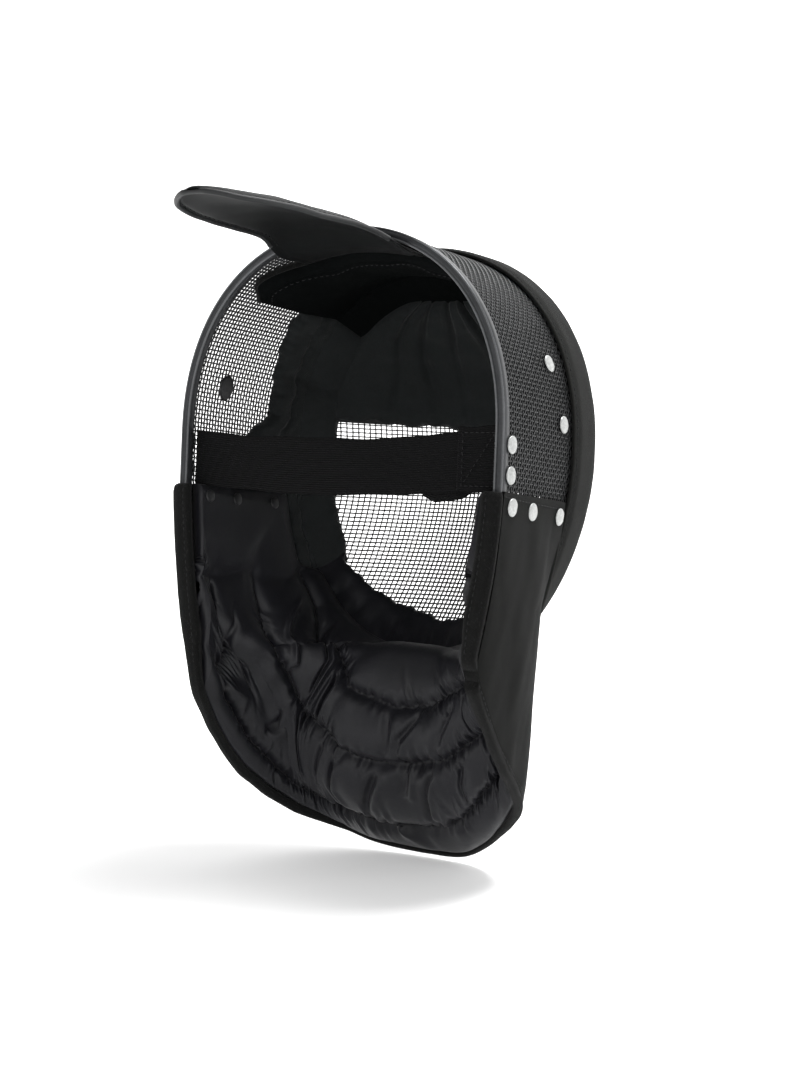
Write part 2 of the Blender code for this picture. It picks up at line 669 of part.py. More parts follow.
def disc(name, slot, radius, height, centre, normal, wide=1.0, tall=1.0):
    bpy.ops.mesh.primitive_cylinder_add(vertices=8, radius=radius, depth=height)
    made = bpy.context.object
    made.name = name
    made.data.name = name
    if wide != tall:
        for corner in made.data.vertices:
            corner.co.x *= tall
            corner.co.y *= wide
    made.rotation_euler = Vector(normal).to_track_quat("Z", "Y").to_euler()
    made.location = Vector(centre) + Vector(normal) * height / 2
    made.data.materials.append(material(slot))
    for holder in list(made.users_collection):
        holder.objects.unlink(made)
    bpy.data.collections["fencing_mask"].objects.link(made)
    dome_edge = made.modifiers.new("dome", "BEVEL")
    dome_edge.width = height * 0.6
    dome_edge.segments = 1
    dome_edge.limit_method = "ANGLE"
    return made


# The point and normal of a surface on the wearer's left, at a depth and a height
def on_surface(surface, firsts, seconds, y, z):
    a, b = grid_of(firsts, seconds)
    points = surface(a, b)
    miss = (points[..., 1] - y) ** 2 + (points[..., 2] - z) ** 2
    best = np.unravel_index(np.argmin(miss), miss.shape)
    point, normal = frame_at(surface, a[best], b[best])
    return np.array([point[0], y, z]), normal


def rivets():
    angles, shares = np.radians(np.linspace(-45, 60, 400)), np.linspace(0.0, 0.95, 300)
    top = joint_curve(np.array(-math.radians(BIB_TOP_ANGLE)))[2]
    for row in RIVETS:
        y = RIM_Y - JOINT_DEPTH * row["behind"]
        z = top + row["z"]
        if row["on"] == "bib":
            shares, levels = np.linspace(0.002, 0.6, 300), np.linspace(0, 0.4, 200)
            point, normal = on_surface(bib_surface, shares, levels, y, z)
            lift = BIB_WALL + CLEAR
        else:
            point, normal = on_surface(band, angles, shares, y, z)
            lift = CLEAR + (RIM_SKIN if row["on"] == "rim" else 0.0)
        wall, facing = on_surface(band, angles, shares, y, z)
        for side, word in ((1, "left"), (-1, "right")):
            if side > 0 and not row["left"]:
                continue
            turn = np.array([side, 1, 1])
            head = (point + normal * lift) * turn
            disc(f"rivet_{row['name']}_{word}", "rivet", RIVET_R, RIVET_RISE, head, normal * turn)
            if row["on"] == "bib":
                back = (wall - facing * (INSIDE + 1.6 * JAW_EASE + LINING_WALL + CLEAR)) * turn
                disc(f"back_{row['name']}_{word}", "rivet_back", BACK_R, RIVET_RISE, back, -facing * turn)
    spot, facing = on_surface(band, angles, shares, RIM_Y - 0.29 * JOINT_DEPTH, STRAP_TOP_Z + 0.031)
    disc("side_spot", "rivet_back", 1.0, 0.001, spot - facing * (MESH_WALL + 3 * CLEAR), -facing,
         SPOT_HALF_WIDTH, SPOT_HALF_HEIGHT)


def main():
    clear_scene()
    old = bpy.data.collections.get("fencing_mask")
    if old:
        bpy.data.collections.remove(old)
    bpy.context.scene.collection.children.link(bpy.data.collections.new("fencing_mask"))
    side_mesh()
    front_mesh()
    rear_rim()
    cover_strip()
    tongue()
    back_strap()
    strap_tab()
    crown_pad()
    forehead_pad()
    cheek_pads()
    chin_pad()
    bib()
    bib_lining()
    bib_edge()
    rivets()


main()
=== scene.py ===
import math
from math import pi, radians

import bmesh
import bpy
import numpy as np
from numpy import arange, array, asarray, concatenate, cos, diff, gradient, interp, linspace, minimum, ones
from numpy import sin, stack, where
from numpy.linalg import norm
from mathutils import Matrix, Vector


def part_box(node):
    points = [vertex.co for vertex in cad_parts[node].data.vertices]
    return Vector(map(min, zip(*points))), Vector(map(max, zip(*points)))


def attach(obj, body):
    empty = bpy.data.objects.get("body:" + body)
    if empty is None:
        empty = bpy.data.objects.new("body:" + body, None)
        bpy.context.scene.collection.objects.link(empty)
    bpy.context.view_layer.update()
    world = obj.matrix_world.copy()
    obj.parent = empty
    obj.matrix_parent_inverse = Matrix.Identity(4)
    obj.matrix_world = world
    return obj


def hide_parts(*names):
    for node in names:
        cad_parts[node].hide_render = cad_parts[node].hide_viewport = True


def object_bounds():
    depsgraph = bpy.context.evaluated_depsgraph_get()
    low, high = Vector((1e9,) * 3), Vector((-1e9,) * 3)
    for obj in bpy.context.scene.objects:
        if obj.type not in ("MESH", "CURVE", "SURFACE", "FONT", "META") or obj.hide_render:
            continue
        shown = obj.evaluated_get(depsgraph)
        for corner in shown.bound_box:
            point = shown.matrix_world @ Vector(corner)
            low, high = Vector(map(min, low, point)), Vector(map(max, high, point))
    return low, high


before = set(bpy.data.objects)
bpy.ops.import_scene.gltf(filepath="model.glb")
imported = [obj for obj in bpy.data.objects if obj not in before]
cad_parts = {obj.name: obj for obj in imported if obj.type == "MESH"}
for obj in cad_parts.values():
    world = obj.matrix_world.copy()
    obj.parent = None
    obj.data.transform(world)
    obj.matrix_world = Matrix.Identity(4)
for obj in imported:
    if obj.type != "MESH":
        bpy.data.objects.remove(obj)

cad_box = [[float(c) for c in corner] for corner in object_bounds()]

# Sizes shared with the solids, in metres
MESH_WALL, CLEAR, PAD_GAP = 0.002, 0.0003, 0.0007
RIM_Y, RIM_HALF, RIM_TOP, RIM_SPRING_Z, RIM_SQUARE = 0.060, 0.1224, 0.0185, -0.1113, 2.2
RIM_WALL, RIM_DEPTH, JAW_EASE, JAW_Z, JAW_TUCK = 0.0012, 0.007, 0.0015, -0.196, 0.0055
CHIN_SWEEP, CHIN_Z = 0.103, -0.267
JOINT_DEPTH, JOINT_HALF, JOINT_TOP, JOINT_WIDE_Z, JOINT_CHIN_Z = 0.118, 0.121, 0.0165, -0.116, -0.269
JOINT_SQUARE_TOP, JOINT_SQUARE_CHIN, FACE_DEPTH = 2.2, 1.95, 0.087
STRIP_WIDTH, STRIP_WALL, STRIP_LAP = 0.028, 0.004, 0.008
BIB_TOP_ANGLE, BIB_WALL, BIB_HALF, BIB_DEPTH, BIB_SQUARE = 12.6, 0.0018, 0.108, 0.138, 2.8
BIB_SIDE_Z, BIB_BOTTOM_Z, BIB_BULGE, BIB_RIGHT_RISE = -0.269, -0.394, 0.003, 0.022
BIB_WAIST = 0.0135
LINING_WALL, LINING_TOP_ANGLE, LINING_ROOM, JAW_ROOM = 0.009, 12.7, 0.0175, 0.0085
LEG_SHARE, BIB_SIDE_SHARE = 0.357, 0.4
RIM_SKIN = CLEAR + RIM_WALL
INSIDE = MESH_WALL + RIM_SKIN + PAD_GAP
CENTRE = array([0.0, RIM_Y - 0.6 * JOINT_DEPTH, JOINT_WIDE_Z - 0.02])
# The woven wires: distance, radius and how far each weaves from the wall's middle
PITCH, WIRE, WAVE = 0.003, 0.00062, 0.00042


# Camera: the photograph's place, tilt and lens
def add_camera():
    turn, down, roll = radians(32.598), radians(0.326), radians(2.282)
    ca, sa, ce, se = math.cos(turn), math.sin(turn), math.cos(down), math.sin(down)
    right = Vector((-ca, -sa, 0.0))
    ahead = Vector((sa * ce, -ca * ce, -se))
    up = Vector((sa * se, -ca * se, ce))
    across = right * math.cos(roll) + up * math.sin(roll)
    upward = up * math.cos(roll) - right * math.sin(roll)
    data = bpy.data.cameras.new("camera")
    data.sensor_width = 36.0
    data.sensor_fit = "AUTO"
    data.lens = 58.51
    data.clip_end = 30.0
    camera = bpy.data.objects.new("camera", data)
    camera.matrix_world = Matrix((
        (across.x, upward.x, -ahead.x, -0.6308),
        (across.y, upward.y, -ahead.y, 0.9646),
        (across.z, upward.z, -ahead.z, -0.1670),
        (0.0, 0.0, 0.0, 1.0)))
    bpy.context.scene.collection.objects.link(camera)
    bpy.context.scene.camera = camera
    return across, ahead


ACROSS, AHEAD = add_camera()


# Materials
def nodes_of(name):
    made = bpy.data.materials.new(name)
    made.use_nodes = True
    tree = made.node_tree
    return made, tree, tree.nodes["Principled BSDF"]


def link(tree, a, b):
    tree.links.new(a, b)


def put(node, **values):
    for name, value in values.items():
        node.inputs[name.replace("_", " ")].default_value = value


def math_node(tree, kind, a, b=None):
    node = tree.nodes.new("ShaderNodeMath")
    node.operation = kind
    for index, value in enumerate((a, b)):
        if isinstance(value, (int, float)):
            node.inputs[index].default_value = value
        elif value is not None:
            link(tree, value, node.inputs[index])
    return node.outputs[0]


def scaled(tree, value, factor, more=0.0):
    return math_node(tree, "ADD", math_node(tree, "MULTIPLY", value, factor), more)


def noise_node(tree, vector, scale, detail=3.0, rough=0.55):
    node = tree.nodes.new("ShaderNodeTexNoise")
    put(node, Scale=scale, Detail=detail, Roughness=rough)
    link(tree, vector, node.inputs["Vector"])
    return node.outputs["Fac"]


def ramp_node(tree, value, low, dark, high, light):
    node = tree.nodes.new("ShaderNodeValToRGB")
    for element, place, colour in zip(node.color_ramp.elements, (low, high), (dark, light)):
        element.position = place
        element.color = (*colour, 1)
    link(tree, value, node.inputs["Fac"])
    return node.outputs["Color"]


def bump_node(tree, height, strength, distance, under=None):
    node = tree.nodes.new("ShaderNodeBump")
    put(node, Strength=strength, Distance=distance)
    link(tree, height, node.inputs["Height"])
    if under:
        link(tree, under, node.inputs["Normal"])
    return node.outputs["Normal"]


def wave(tree, coordinate, pitch):
    return math_node(tree, "SINE", math_node(tree, "MULTIPLY", coordinate, 2 * pi / pitch))


# A cloth: weave from the piece's own UV in metres, creases and colour change from noise
def cloth(name, dark, light, rough, pitch, weave, crease, scale, sheen, specular, speck=0, ribs=False):
    made, tree, shader = nodes_of(name)
    place = tree.nodes.new("ShaderNodeTexCoord")
    split = tree.nodes.new("ShaderNodeSeparateXYZ")
    link(tree, place.outputs["UV"], split.inputs[0])
    u, v = split.outputs[0], split.outputs[1]
    point = place.outputs["Object"]
    patch = noise_node(tree, point, 18.0, 4.0)
    fine = noise_node(tree, point, 900.0, 2.0)
    if ribs:
        across = math_node(tree, "MULTIPLY", wave(tree, u, 0.6 * pitch), 0.4)
        height = math_node(tree, "ADD", wave(tree, v, pitch), across)
    else:
        height = math_node(tree, "MULTIPLY", wave(tree, u, pitch), wave(tree, v, pitch))
    height = math_node(tree, "ADD", height, math_node(tree, "MULTIPLY", fine, 1.2))
    mix = scaled(tree, patch, 0.7, math_node(tree, "MULTIPLY", fine, 0.5))
    colour = ramp_node(tree, mix, 0.35, dark, 0.85, light)
    if speck:
        dots = noise_node(tree, point, 1500.0, 1.0)
        join = tree.nodes.new("ShaderNodeMix")
        join.data_type = "RGBA"
        join.blend_type = "ADD"
        put(join, Factor=1.0)
        link(tree, colour, join.inputs["A"])
        link(tree, ramp_node(tree, dots, 0.66, (0, 0, 0), 0.74, (speck, speck, speck)), join.inputs["B"])
        colour = join.outputs["Result"]
    link(tree, colour, shader.inputs["Base Color"])
    link(tree, scaled(tree, patch, 0.25, rough - 0.12), shader.inputs["Roughness"])
    folds = None
    if crease:
        folds = bump_node(tree, noise_node(tree, point, scale, 5.0, 0.6), crease, 0.004)
    link(tree, bump_node(tree, height, weave, 0.0004, folds), shader.inputs["Normal"])
    put(shader, Sheen_Weight=sheen, Sheen_Roughness=0.45, Specular_IOR_Level=specular)
    return made


def paint(name, dark, light, rough, metallic=0.0, chips=0.0):
    made, tree, shader = nodes_of(name)
    point = tree.nodes.new("ShaderNodeTexCoord").outputs["Object"]
    patch = noise_node(tree, point, 35.0, 5.0)
    fine = noise_node(tree, point, 700.0, 2.0)
    mix = scaled(tree, patch, 0.6, math_node(tree, "MULTIPLY", fine, 0.4 + chips))
    link(tree, ramp_node(tree, mix, 0.35, dark, 0.8, light), shader.inputs["Base Color"])
    link(tree, scaled(tree, patch, 0.2, rough - 0.1), shader.inputs["Roughness"])
    link(tree, bump_node(tree, fine, 0.12, 0.0003), shader.inputs["Normal"])
    put(shader, Metallic=metallic)
    return made


# Paints: dark and light colour, roughness, metallic, chips
MAT = {
    "wire": paint("wire_paint", (0.006, 0.0065, 0.007), (0.018, 0.019, 0.020), 0.36, 0.0, 0.2),
    "wire_dark": paint("wire_paint_face", (0.006, 0.0065, 0.005), (0.016, 0.017, 0.013), 0.45, 0.0, 0.2),
    "rim": paint("rim_paint", (0.022, 0.023, 0.025), (0.048, 0.050, 0.054), 0.38, 0.3, 0.1),
    # Lighter paint for the rim's beads: a painted edge highlight along the rim
    "rim_highlight": paint("rim_edge_highlight_paint", (0.085, 0.088, 0.092), (0.150, 0.154, 0.160), 0.32, 0.4),
    "rivet": paint("rivet_head", (0.26, 0.265, 0.26), (0.50, 0.51, 0.50), 0.38, 0.2, 0.3),
    "rivet_back": paint("rivet_back", (0.010, 0.010, 0.011), (0.030, 0.030, 0.032), 0.38, 0.2),
}
# Cloths: dark and light colour, roughness, pitch, weave, crease, crease scale, sheen, specular, speck, ribs
MAT.update({key: cloth(*row) for key, row in {
    "strip": ("strip_cloth", (0.0035, 0.0037, 0.0033), (0.0095, 0.0098, 0.0088),
              0.85, 0.0011, 0.5, 0.10, 90.0, 0.04, 0.15),
    "tongue": ("tongue_cover", (0.0018, 0.0022, 0.0023), (0.0042, 0.0048, 0.0050),
               0.55, 0.0009, 0.12, 0.05, 45.0, 0.0, 0.11),
    # The tongue's binding, lighter than its cover with more specular: a painted highlight where the rounded
    # edge catches the light
    "tongue_edge_highlight": ("tongue_binding_painted_highlight", (0.006, 0.0065, 0.007), (0.014, 0.015, 0.016),
                    0.5, 0.001, 0.2, 0.0, 60.0, 0.04, 0.35),
    "strap": ("strap_webbing", (0.0022, 0.0022, 0.0024), (0.0055, 0.0055, 0.0058),
              0.9, 0.0014, 0.7, 0.0, 60.0, 0.02, 0.12, 0.0, True),
    # The same pad cloth twice: a darker copy for the crown pad, which faces the floor (painted shade), and a
    # lighter copy with more sheen for the forehead and cheek pads (painted light)
    "pad": ("crown_pad_cloth_painted_shade", (0.0013, 0.0018, 0.0018), (0.0034, 0.0042, 0.0043),
            0.85, 0.0010, 0.4, 0.12, 70.0, 0.0, 0.05),
    "pad_face_lit": ("face_pad_cloth_painted_light", (0.0064, 0.0078, 0.0080), (0.0150, 0.0178, 0.0184),
                 0.75, 0.0010, 0.3, 0.12, 60.0, 0.10, 0.25),
    "lining": ("lining_satin", (0.0040, 0.0041, 0.0055), (0.0105, 0.0104, 0.0138),
               0.44, 0.0006, 0.10, 0.10, 55.0, 0.03, 0.30),
    "bib": ("bib_nylon", (0.0050, 0.0052, 0.0049), (0.0100, 0.0103, 0.0097),
            0.8, 0.0009, 0.35, 0.10, 40.0, 0.02, 0.08),
    "edge": ("edge_velvet", (0.0022, 0.0023, 0.0022), (0.0075, 0.0077, 0.0074),
             0.92, 0.0010, 0.6, 0.08, 90.0, 0.05, 0.12, 0.03),
    "thread": ("thread", (0.005, 0.005, 0.0055), (0.014, 0.014, 0.015),
               0.6, 0.0006, 0.4, 0.0, 60.0, 0.0, 0.3),
}.items()})


# Curves and surfaces, as in the solids
def power(value, exponent):
    return np.sign(value) * np.abs(value) ** exponent


def blend(a, b, share):
    return a + (b - a) * asarray(share)[..., None]


def clamp(value):
    return np.clip(value, 0, 1)


def bell(value, width):
    return np.exp(-(value / width) ** 2)


def unit(vectors):
    return vectors / np.maximum(norm(vectors, axis=-1, keepdims=True), 1e-12)


def grid_of(first, second):
    return np.meshgrid(first, second, indexing="ij")


def drop_of(t):
    return np.arcsin(clamp(-sin(t))) / (pi / 2)


def rim_curve(t):
    c, s = cos(t), sin(t)
    drop = drop_of(t)
    leg = clamp(drop / LEG_SHARE)
    turn = clamp((drop - LEG_SHARE) / (1 - LEG_SHARE)) * pi / 2
    near = clamp(cos(turn))
    low_half = RIM_HALF - JAW_TUCK * clamp(leg * 1.7 - 0.7) ** 1.5
    x = where(s >= 0, RIM_HALF * power(c, 2 / RIM_SQUARE), np.sign(c) * low_half * near ** 0.9)
    y = RIM_Y - CHIN_SWEEP * clamp(sin(turn)) ** 1.5
    high = RIM_SPRING_Z + (RIM_TOP - RIM_SPRING_Z) * clamp(s) ** (2 / RIM_SQUARE)
    low = RIM_SPRING_Z + (JAW_Z - RIM_SPRING_Z) * leg + (CHIN_Z - JAW_Z) * np.sqrt(1 - near ** 4)
    return stack([x, y, where(s >= 0, high, low)], -1)


def joint_curve(t):
    c, s = cos(t), sin(t)
    top, low = 2 / JOINT_SQUARE_TOP, 2 / JOINT_SQUARE_CHIN
    x = JOINT_HALF * where(s >= 0, power(c, top), power(c, low))
    high = (JOINT_TOP - JOINT_WIDE_Z) * power(s, top)
    deep = (JOINT_WIDE_Z - JOINT_CHIN_Z) * power(s, low)
    return stack([x, RIM_Y - JOINT_DEPTH + 0 * x, JOINT_WIDE_Z + where(s >= 0, high, deep)], -1)


def band(t, v):
    return blend(rim_curve(t), joint_curve(t), v)


def reach(t):
    return norm(joint_curve(t) - rim_curve(t), axis=-1)


def dome(t, share):
    edge = joint_curve(t)
    middle = array([0.0, RIM_Y - JOINT_DEPTH, JOINT_WIDE_Z])
    point = blend(middle, edge, share)
    point[..., 1] = RIM_Y - JOINT_DEPTH - FACE_DEPTH * (1 - asarray(share) ** 2)
    return point


def dome_share(x, z):
    high = z >= JOINT_WIDE_Z
    rise = where(high, JOINT_TOP - JOINT_WIDE_Z, JOINT_WIDE_Z - JOINT_CHIN_Z)
    square = where(high, JOINT_SQUARE_TOP, JOINT_SQUARE_CHIN)
    total = (np.abs(x) / JOINT_HALF) ** square + (np.abs(z - JOINT_WIDE_Z) / rise) ** square
    return total ** (1 / square)


def dome_over(x, z):
    share = clamp(dome_share(x, z))
    return stack([x, RIM_Y - JOINT_DEPTH - FACE_DEPTH * (1 - share ** 2), z], -1)


def skin(t, q):
    on_band = band(t, q)
    on_dome = dome(t, clamp(2 - asarray(q)))
    return where(asarray(q)[..., None] <= 1, on_band, on_dome)


def outward(grid, closed=False):
    along = np.roll(grid, -1, 0) - np.roll(grid, 1, 0) if closed else gradient(grid, axis=0)
    normal = unit(np.cross(along, gradient(grid, axis=1)))
    return -normal if np.sum(normal * (grid - CENTRE)) < 0 else normal


def frame_at(surface, t, q, step=0.0005):
    point = surface(t, q)
    around = surface(t + step, q) - surface(t - step, q)
    ahead = surface(t, q + step) - surface(t, q - step)
    normal = unit(np.cross(around, ahead))
    inward = np.sum(normal * (point - CENTRE), -1, keepdims=True) < 0
    return point, where(inward, -normal, normal)


def inside_skin(t, q, depth):
    point, normal = frame_at(skin, t, q)
    return point - normal * asarray(depth)[..., None]


def smooth(values, times=1, axis=0):
    out = array(values, float)
    for _ in range(times):
        pad = concatenate([np.take(out, [0], axis), out, np.take(out, [-1], axis)], axis)
        count = out.shape[axis]
        a = np.take(pad, range(0, count), axis)
        b = np.take(pad, range(2, count + 2), axis)
        out = 0.5 * out + 0.25 * (a + b)
    return out


# Smooth noise over a grid of points, the same on each run
def lumps(points, size, seed, octaves=2):
    gen = np.random.default_rng(seed)
    total = np.zeros(points.shape[:-1])
    for octave in range(octaves):
        for _ in range(7):
            way = unit(gen.normal(size=3))
            phase = gen.uniform(0, 2 * pi)
            scale = 2 * pi / size * (2 ** octave) * gen.uniform(0.7, 1.3)
            total += sin(points @ way * scale + phase) / 7 * 0.6 ** octave * 1.6
    return total


# Mesh helpers
def new_mesh(name, points, faces, mat, uv=None, smooth_angle=None):
    mesh = bpy.data.meshes.new(name)
    points = asarray(points, np.float32)
    faces = asarray(faces, np.int32)
    width = faces.shape[1]
    mesh.vertices.add(len(points))
    mesh.vertices.foreach_set("co", points.ravel())
    mesh.loops.add(faces.size)
    mesh.loops.foreach_set("vertex_index", faces.ravel())
    mesh.polygons.add(len(faces))
    mesh.polygons.foreach_set("loop_start", arange(0, faces.size, width, dtype=np.int32))
    mesh.polygons.foreach_set("loop_total", np.full(len(faces), width, np.int32))
    mesh.update(calc_edges=True)
    mesh.validate()
    if uv is not None:
        layer = mesh.uv_layers.new(name="uv")
        layer.data.foreach_set("uv", asarray(uv, np.float32)[faces.ravel()].ravel())
    mesh.shade_smooth()
    if smooth_angle:
        mesh.set_sharp_from_angle(angle=radians(smooth_angle))
    made = bpy.data.objects.new(name, mesh)
    made.data.materials.append(MAT[mat])
    bpy.context.scene.collection.objects.link(made)
    return made


def ring_quads(count, ring, closed=False):
    i, j = grid_of(arange(count if closed else count - 1), arange(ring))
    k, m = (i + 1) % count, (j + 1) % ring
    return stack([i * ring + j, k * ring + j, k * ring + m, i * ring + m], -1).reshape(-1, 4)


def circles(side, top, sides, turn=0.0):
    angle = linspace(0, 2 * pi, sides, endpoint=False) + turn
    return side[:, None] * cos(angle)[None, :, None] + top[:, None] * sin(angle)[None, :, None]


def arc_of(path):
    return concatenate([[0], np.cumsum(norm(diff(path, axis=0), axis=-1))])


# A skin over rings of points; rings run along the first axis
def skin_rings(name, rings, mat, closed=False, smooth_angle=None):
    count, ring = rings.shape[:2]
    along = norm(diff(rings.mean(1), axis=0), axis=-1)
    u = concatenate([[0], np.cumsum(along)])
    step = norm(np.roll(rings, -1, 1) - rings, axis=-1).mean(0)
    v = concatenate([[0], np.cumsum(step[:-1])])
    uv = stack(grid_of(u, v), -1).reshape(-1, 2)
    made = new_mesh(name, rings.reshape(-1, 3), ring_quads(count, ring, closed), mat, uv, smooth_angle)
    work = bmesh.new()
    work.from_mesh(made.data)
    if not closed:
        edges = [e for e in work.edges if e.is_boundary]
        bmesh.ops.holes_fill(work, edges=edges, sides=0)
    bmesh.ops.recalc_face_normals(work, faces=work.faces)
    for face in work.faces:
        face.smooth = True
    work.to_mesh(made.data)
    work.free()
    if smooth_angle:
        made.data.set_sharp_from_angle(angle=radians(smooth_angle))
    return made


# Rings of a wall from its two faces; the hidden outer face may have fewer rows
def wall_rings(inner, outer, rim=3, outer_rows=None):
    side_a = [blend(inner[:, -1], outer[:, -1], s / rim)[:, None] for s in range(1, rim)]
    side_b = [blend(outer[:, 0], inner[:, 0], s / rim)[:, None] for s in range(1, rim)]
    rows = outer.shape[1]
    kept = linspace(rows - 1, 0, outer_rows or rows).round().astype(int)
    return concatenate([inner, *side_a, outer[:, kept], *side_b], 1)


def tube_along(name, path, radius, mat, sides=10, up=(0.0, 0.0, 1.0)):
    path = asarray(path, float)
    tangent = unit(gradient(path, axis=0))
    side = unit(np.cross(tangent, np.broadcast_to(up, tangent.shape)))
    top = unit(np.cross(side, tangent))
    radius = np.broadcast_to(radius, len(path))[:, None, None]
    return skin_rings(name, path[:, None] + circles(side, top, sides) * radius, mat)


def finish_piece(made, *nodes, fill=None):
    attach(made, "root")
    if nodes:
        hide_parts(*nodes)
    return made


# Woven wire: each wire is a polyline pushed in and out by its crossings
def wires(name, lines, normals, phases, mat):
    points, faces, start = [], [], 0
    for path, normal, phase in zip(lines, normals, phases):
        path = path + normal * phase[:, None]
        tangent = unit(gradient(path, axis=0))
        side = unit(np.cross(tangent, normal))
        ring = circles(side, np.cross(side, tangent), 4, pi / 4)
        points.append((path[:, None] + ring * WIRE).reshape(-1, 3))
        last = (len(path) - 1) * 4
        ends = array([[0, 1, 2, 3], [last + 3, last + 2, last + 1, last]])
        faces.append(concatenate([ring_quads(len(path), 4), ends]) + start)
        start += len(path) * 4
    return new_mesh(name, concatenate(points), concatenate(faces), mat)


def side_wires():
    low = radians(-16.5)
    fine = linspace(low, pi - low, 6001)
    depth = MESH_WALL / 2
    arch = band(fine, 0 * fine + 0.5)
    arc = arc_of(arch)
    count = int(arc[-1] / PITCH)
    lines, normals, phases = [], [], []
    run = arange(0.0012, JOINT_DEPTH - 0.0012, PITCH / 2) / JOINT_DEPTH
    for n in range(count + 1):
        t = interp(n * PITCH, arc, fine) + 0 * run
        point, normal = frame_at(band, t, run)
        lines.append(point - normal * depth)
        normals.append(normal)
        phases.append(WAVE * cos(pi * run * JOINT_DEPTH / PITCH + pi * n))
    long_wires = wires("side_wires_long", lines, normals, phases, "wire")
    lines, normals, phases = [], [], []
    place = arange(0, arc[-1], PITCH / 2)
    t = interp(place, arc, fine)
    for n in range(1, int(JOINT_DEPTH / PITCH)):
        v = 0 * t + n * PITCH / JOINT_DEPTH
        point, normal = frame_at(band, t, v)
        lines.append(point - normal * depth)
        normals.append(normal)
        phases.append(-WAVE * cos(pi * place / PITCH + pi * n))
    finish_piece(long_wires, "side_mesh")
    finish_piece(wires("side_wires_round", lines, normals, phases, "wire"))


def face_wires():
    step_x, step_z = 0.00305, 0.003
    depth = MESH_WALL / 2

    def normals_on(x, z):
        eps = 0.0004
        a = dome_over(x + eps, z) - dome_over(x - eps, z)
        b = dome_over(x, z + eps) - dome_over(x, z - eps)
        normal = unit(np.cross(a, b))
        return where(normal[..., 1:2] > 0, -normal, normal)

    def build(name, vertical):
        lines, normals, phases = [], [], []
        step = step_x if vertical else step_z
        other = step_z if vertical else step_x
        for n in range(-60, 61):
            if vertical:
                z = arange(-0.30, 0.04, other / 2)
                x = 0 * z + n * step
            else:
                x = arange(-0.122, 0.1225, other / 2)
                z = 0 * x + JOINT_WIDE_Z + n * step
            keep = dome_share(x, z) < 0.992
            if keep.sum() < 4:
                continue
            x, z = x[keep], z[keep]
            normal = normals_on(x, z)
            lines.append(dome_over(x, z) - normal * depth)
            normals.append(normal)
            if vertical:
                phases.append(WAVE * cos(pi * (z - JOINT_WIDE_Z) / step_z + pi * n))
            else:
                phases.append(-WAVE * cos(pi * x / step_x + pi * n))
        return wires(name, lines, normals, phases, "wire_dark")

    finish_piece(build("face_wires_upright", True), "front_mesh")
    finish_piece(build("face_wires_level", False))


def rear_rim():
    t = linspace(0, 2 * pi, 360, endpoint=False) - pi / 2
    path, normal = frame_at(band, t, 0 * t)
    ahead = unit(band(t, 0 * t + 0.1) - path)
    low = clamp((drop_of(t) - LEG_SHARE) / 0.15)[:, None]
    gap = CLEAR + JAW_EASE * low
    out, back = gap + RIM_WALL, -gap - RIM_WALL - 0.5 * JAW_EASE * low
    sink = -MESH_WALL - gap - RIM_WALL
    tip = RIM_DEPTH - RIM_SKIN
    soft = 0.0007
    across = concatenate([sink + soft, sink, sink, sink + 0.0006, out - 0.0006, out, out, out - soft], 1)
    along = concatenate([back, back + soft, 0 * low + tip - 0.0006, 0 * low + tip, 0 * low + tip,
                         0 * low + tip - 0.0006, back + soft, back], 1)
    rings = path[:, None] + normal[:, None] * across[..., None] + ahead[:, None] * along[..., None]
    made = skin_rings("rear_rim_channel", rings, "rim", closed=True, smooth_angle=50)
    finish_piece(made, "rear_rim")
    # Two thin beads on the rim's lips in a lighter paint: a painted edge highlight along the rim
    arch = linspace(radians(-22), pi + radians(22), 240)
    for name, offset, size in (("rim_inner_bead", -MESH_WALL - RIM_WALL - 0.0004, 0.0008),
                               ("rim_outer_bead", RIM_SKIN - 0.0004, 0.0006)):
        point, facing = frame_at(band, arch, 0 * arch)
        forward = unit(band(arch, 0 * arch + 0.1) - point)
        path = point + facing * offset - forward * (RIM_SKIN - 0.0001)
        finish_piece(tube_along(name, path, size, "rim_highlight", 8, (0.0, 1.0, 0.0)))


def strip_start(t):
    return 1 - minimum(STRIP_WIDTH, reach(t) - RIM_DEPTH - 0.0015) / reach(t)


def stitches(name, path, normal, length=0.0028, gap=0.0016, off=0.0001):
    radius, sides = 0.0003, 5
    path = asarray(path, float) + normal * off
    arc = arc_of(path)
    points, faces = [], []
    lift = array([-0.6, 0.5, 0.8, 0.5, -0.6]) * radius
    size = radius * array([0.55, 1, 1, 1, 0.55])
    for n, start in enumerate(arange(0.0, arc[-1] - length, length + gap)):
        at = linspace(start, start + length, 5)
        line = stack([interp(at, arc, path[:, k]) for k in range(3)], -1)
        up = unit(stack([interp(at, arc, normal[:, k]) for k in range(3)], -1))
        line = line + up * lift[:, None]
        tangent = unit(gradient(line, axis=0))
        side = unit(np.cross(tangent, up))
        ring = circles(side, np.cross(side, tangent), sides)
        points.append((line[:, None] + ring * size[:, None, None]).reshape(-1, 3))
        faces.append(ring_quads(5, sides) + n * 5 * sides)
    return finish_piece(new_mesh(name, concatenate(points), concatenate(faces), "thread"))


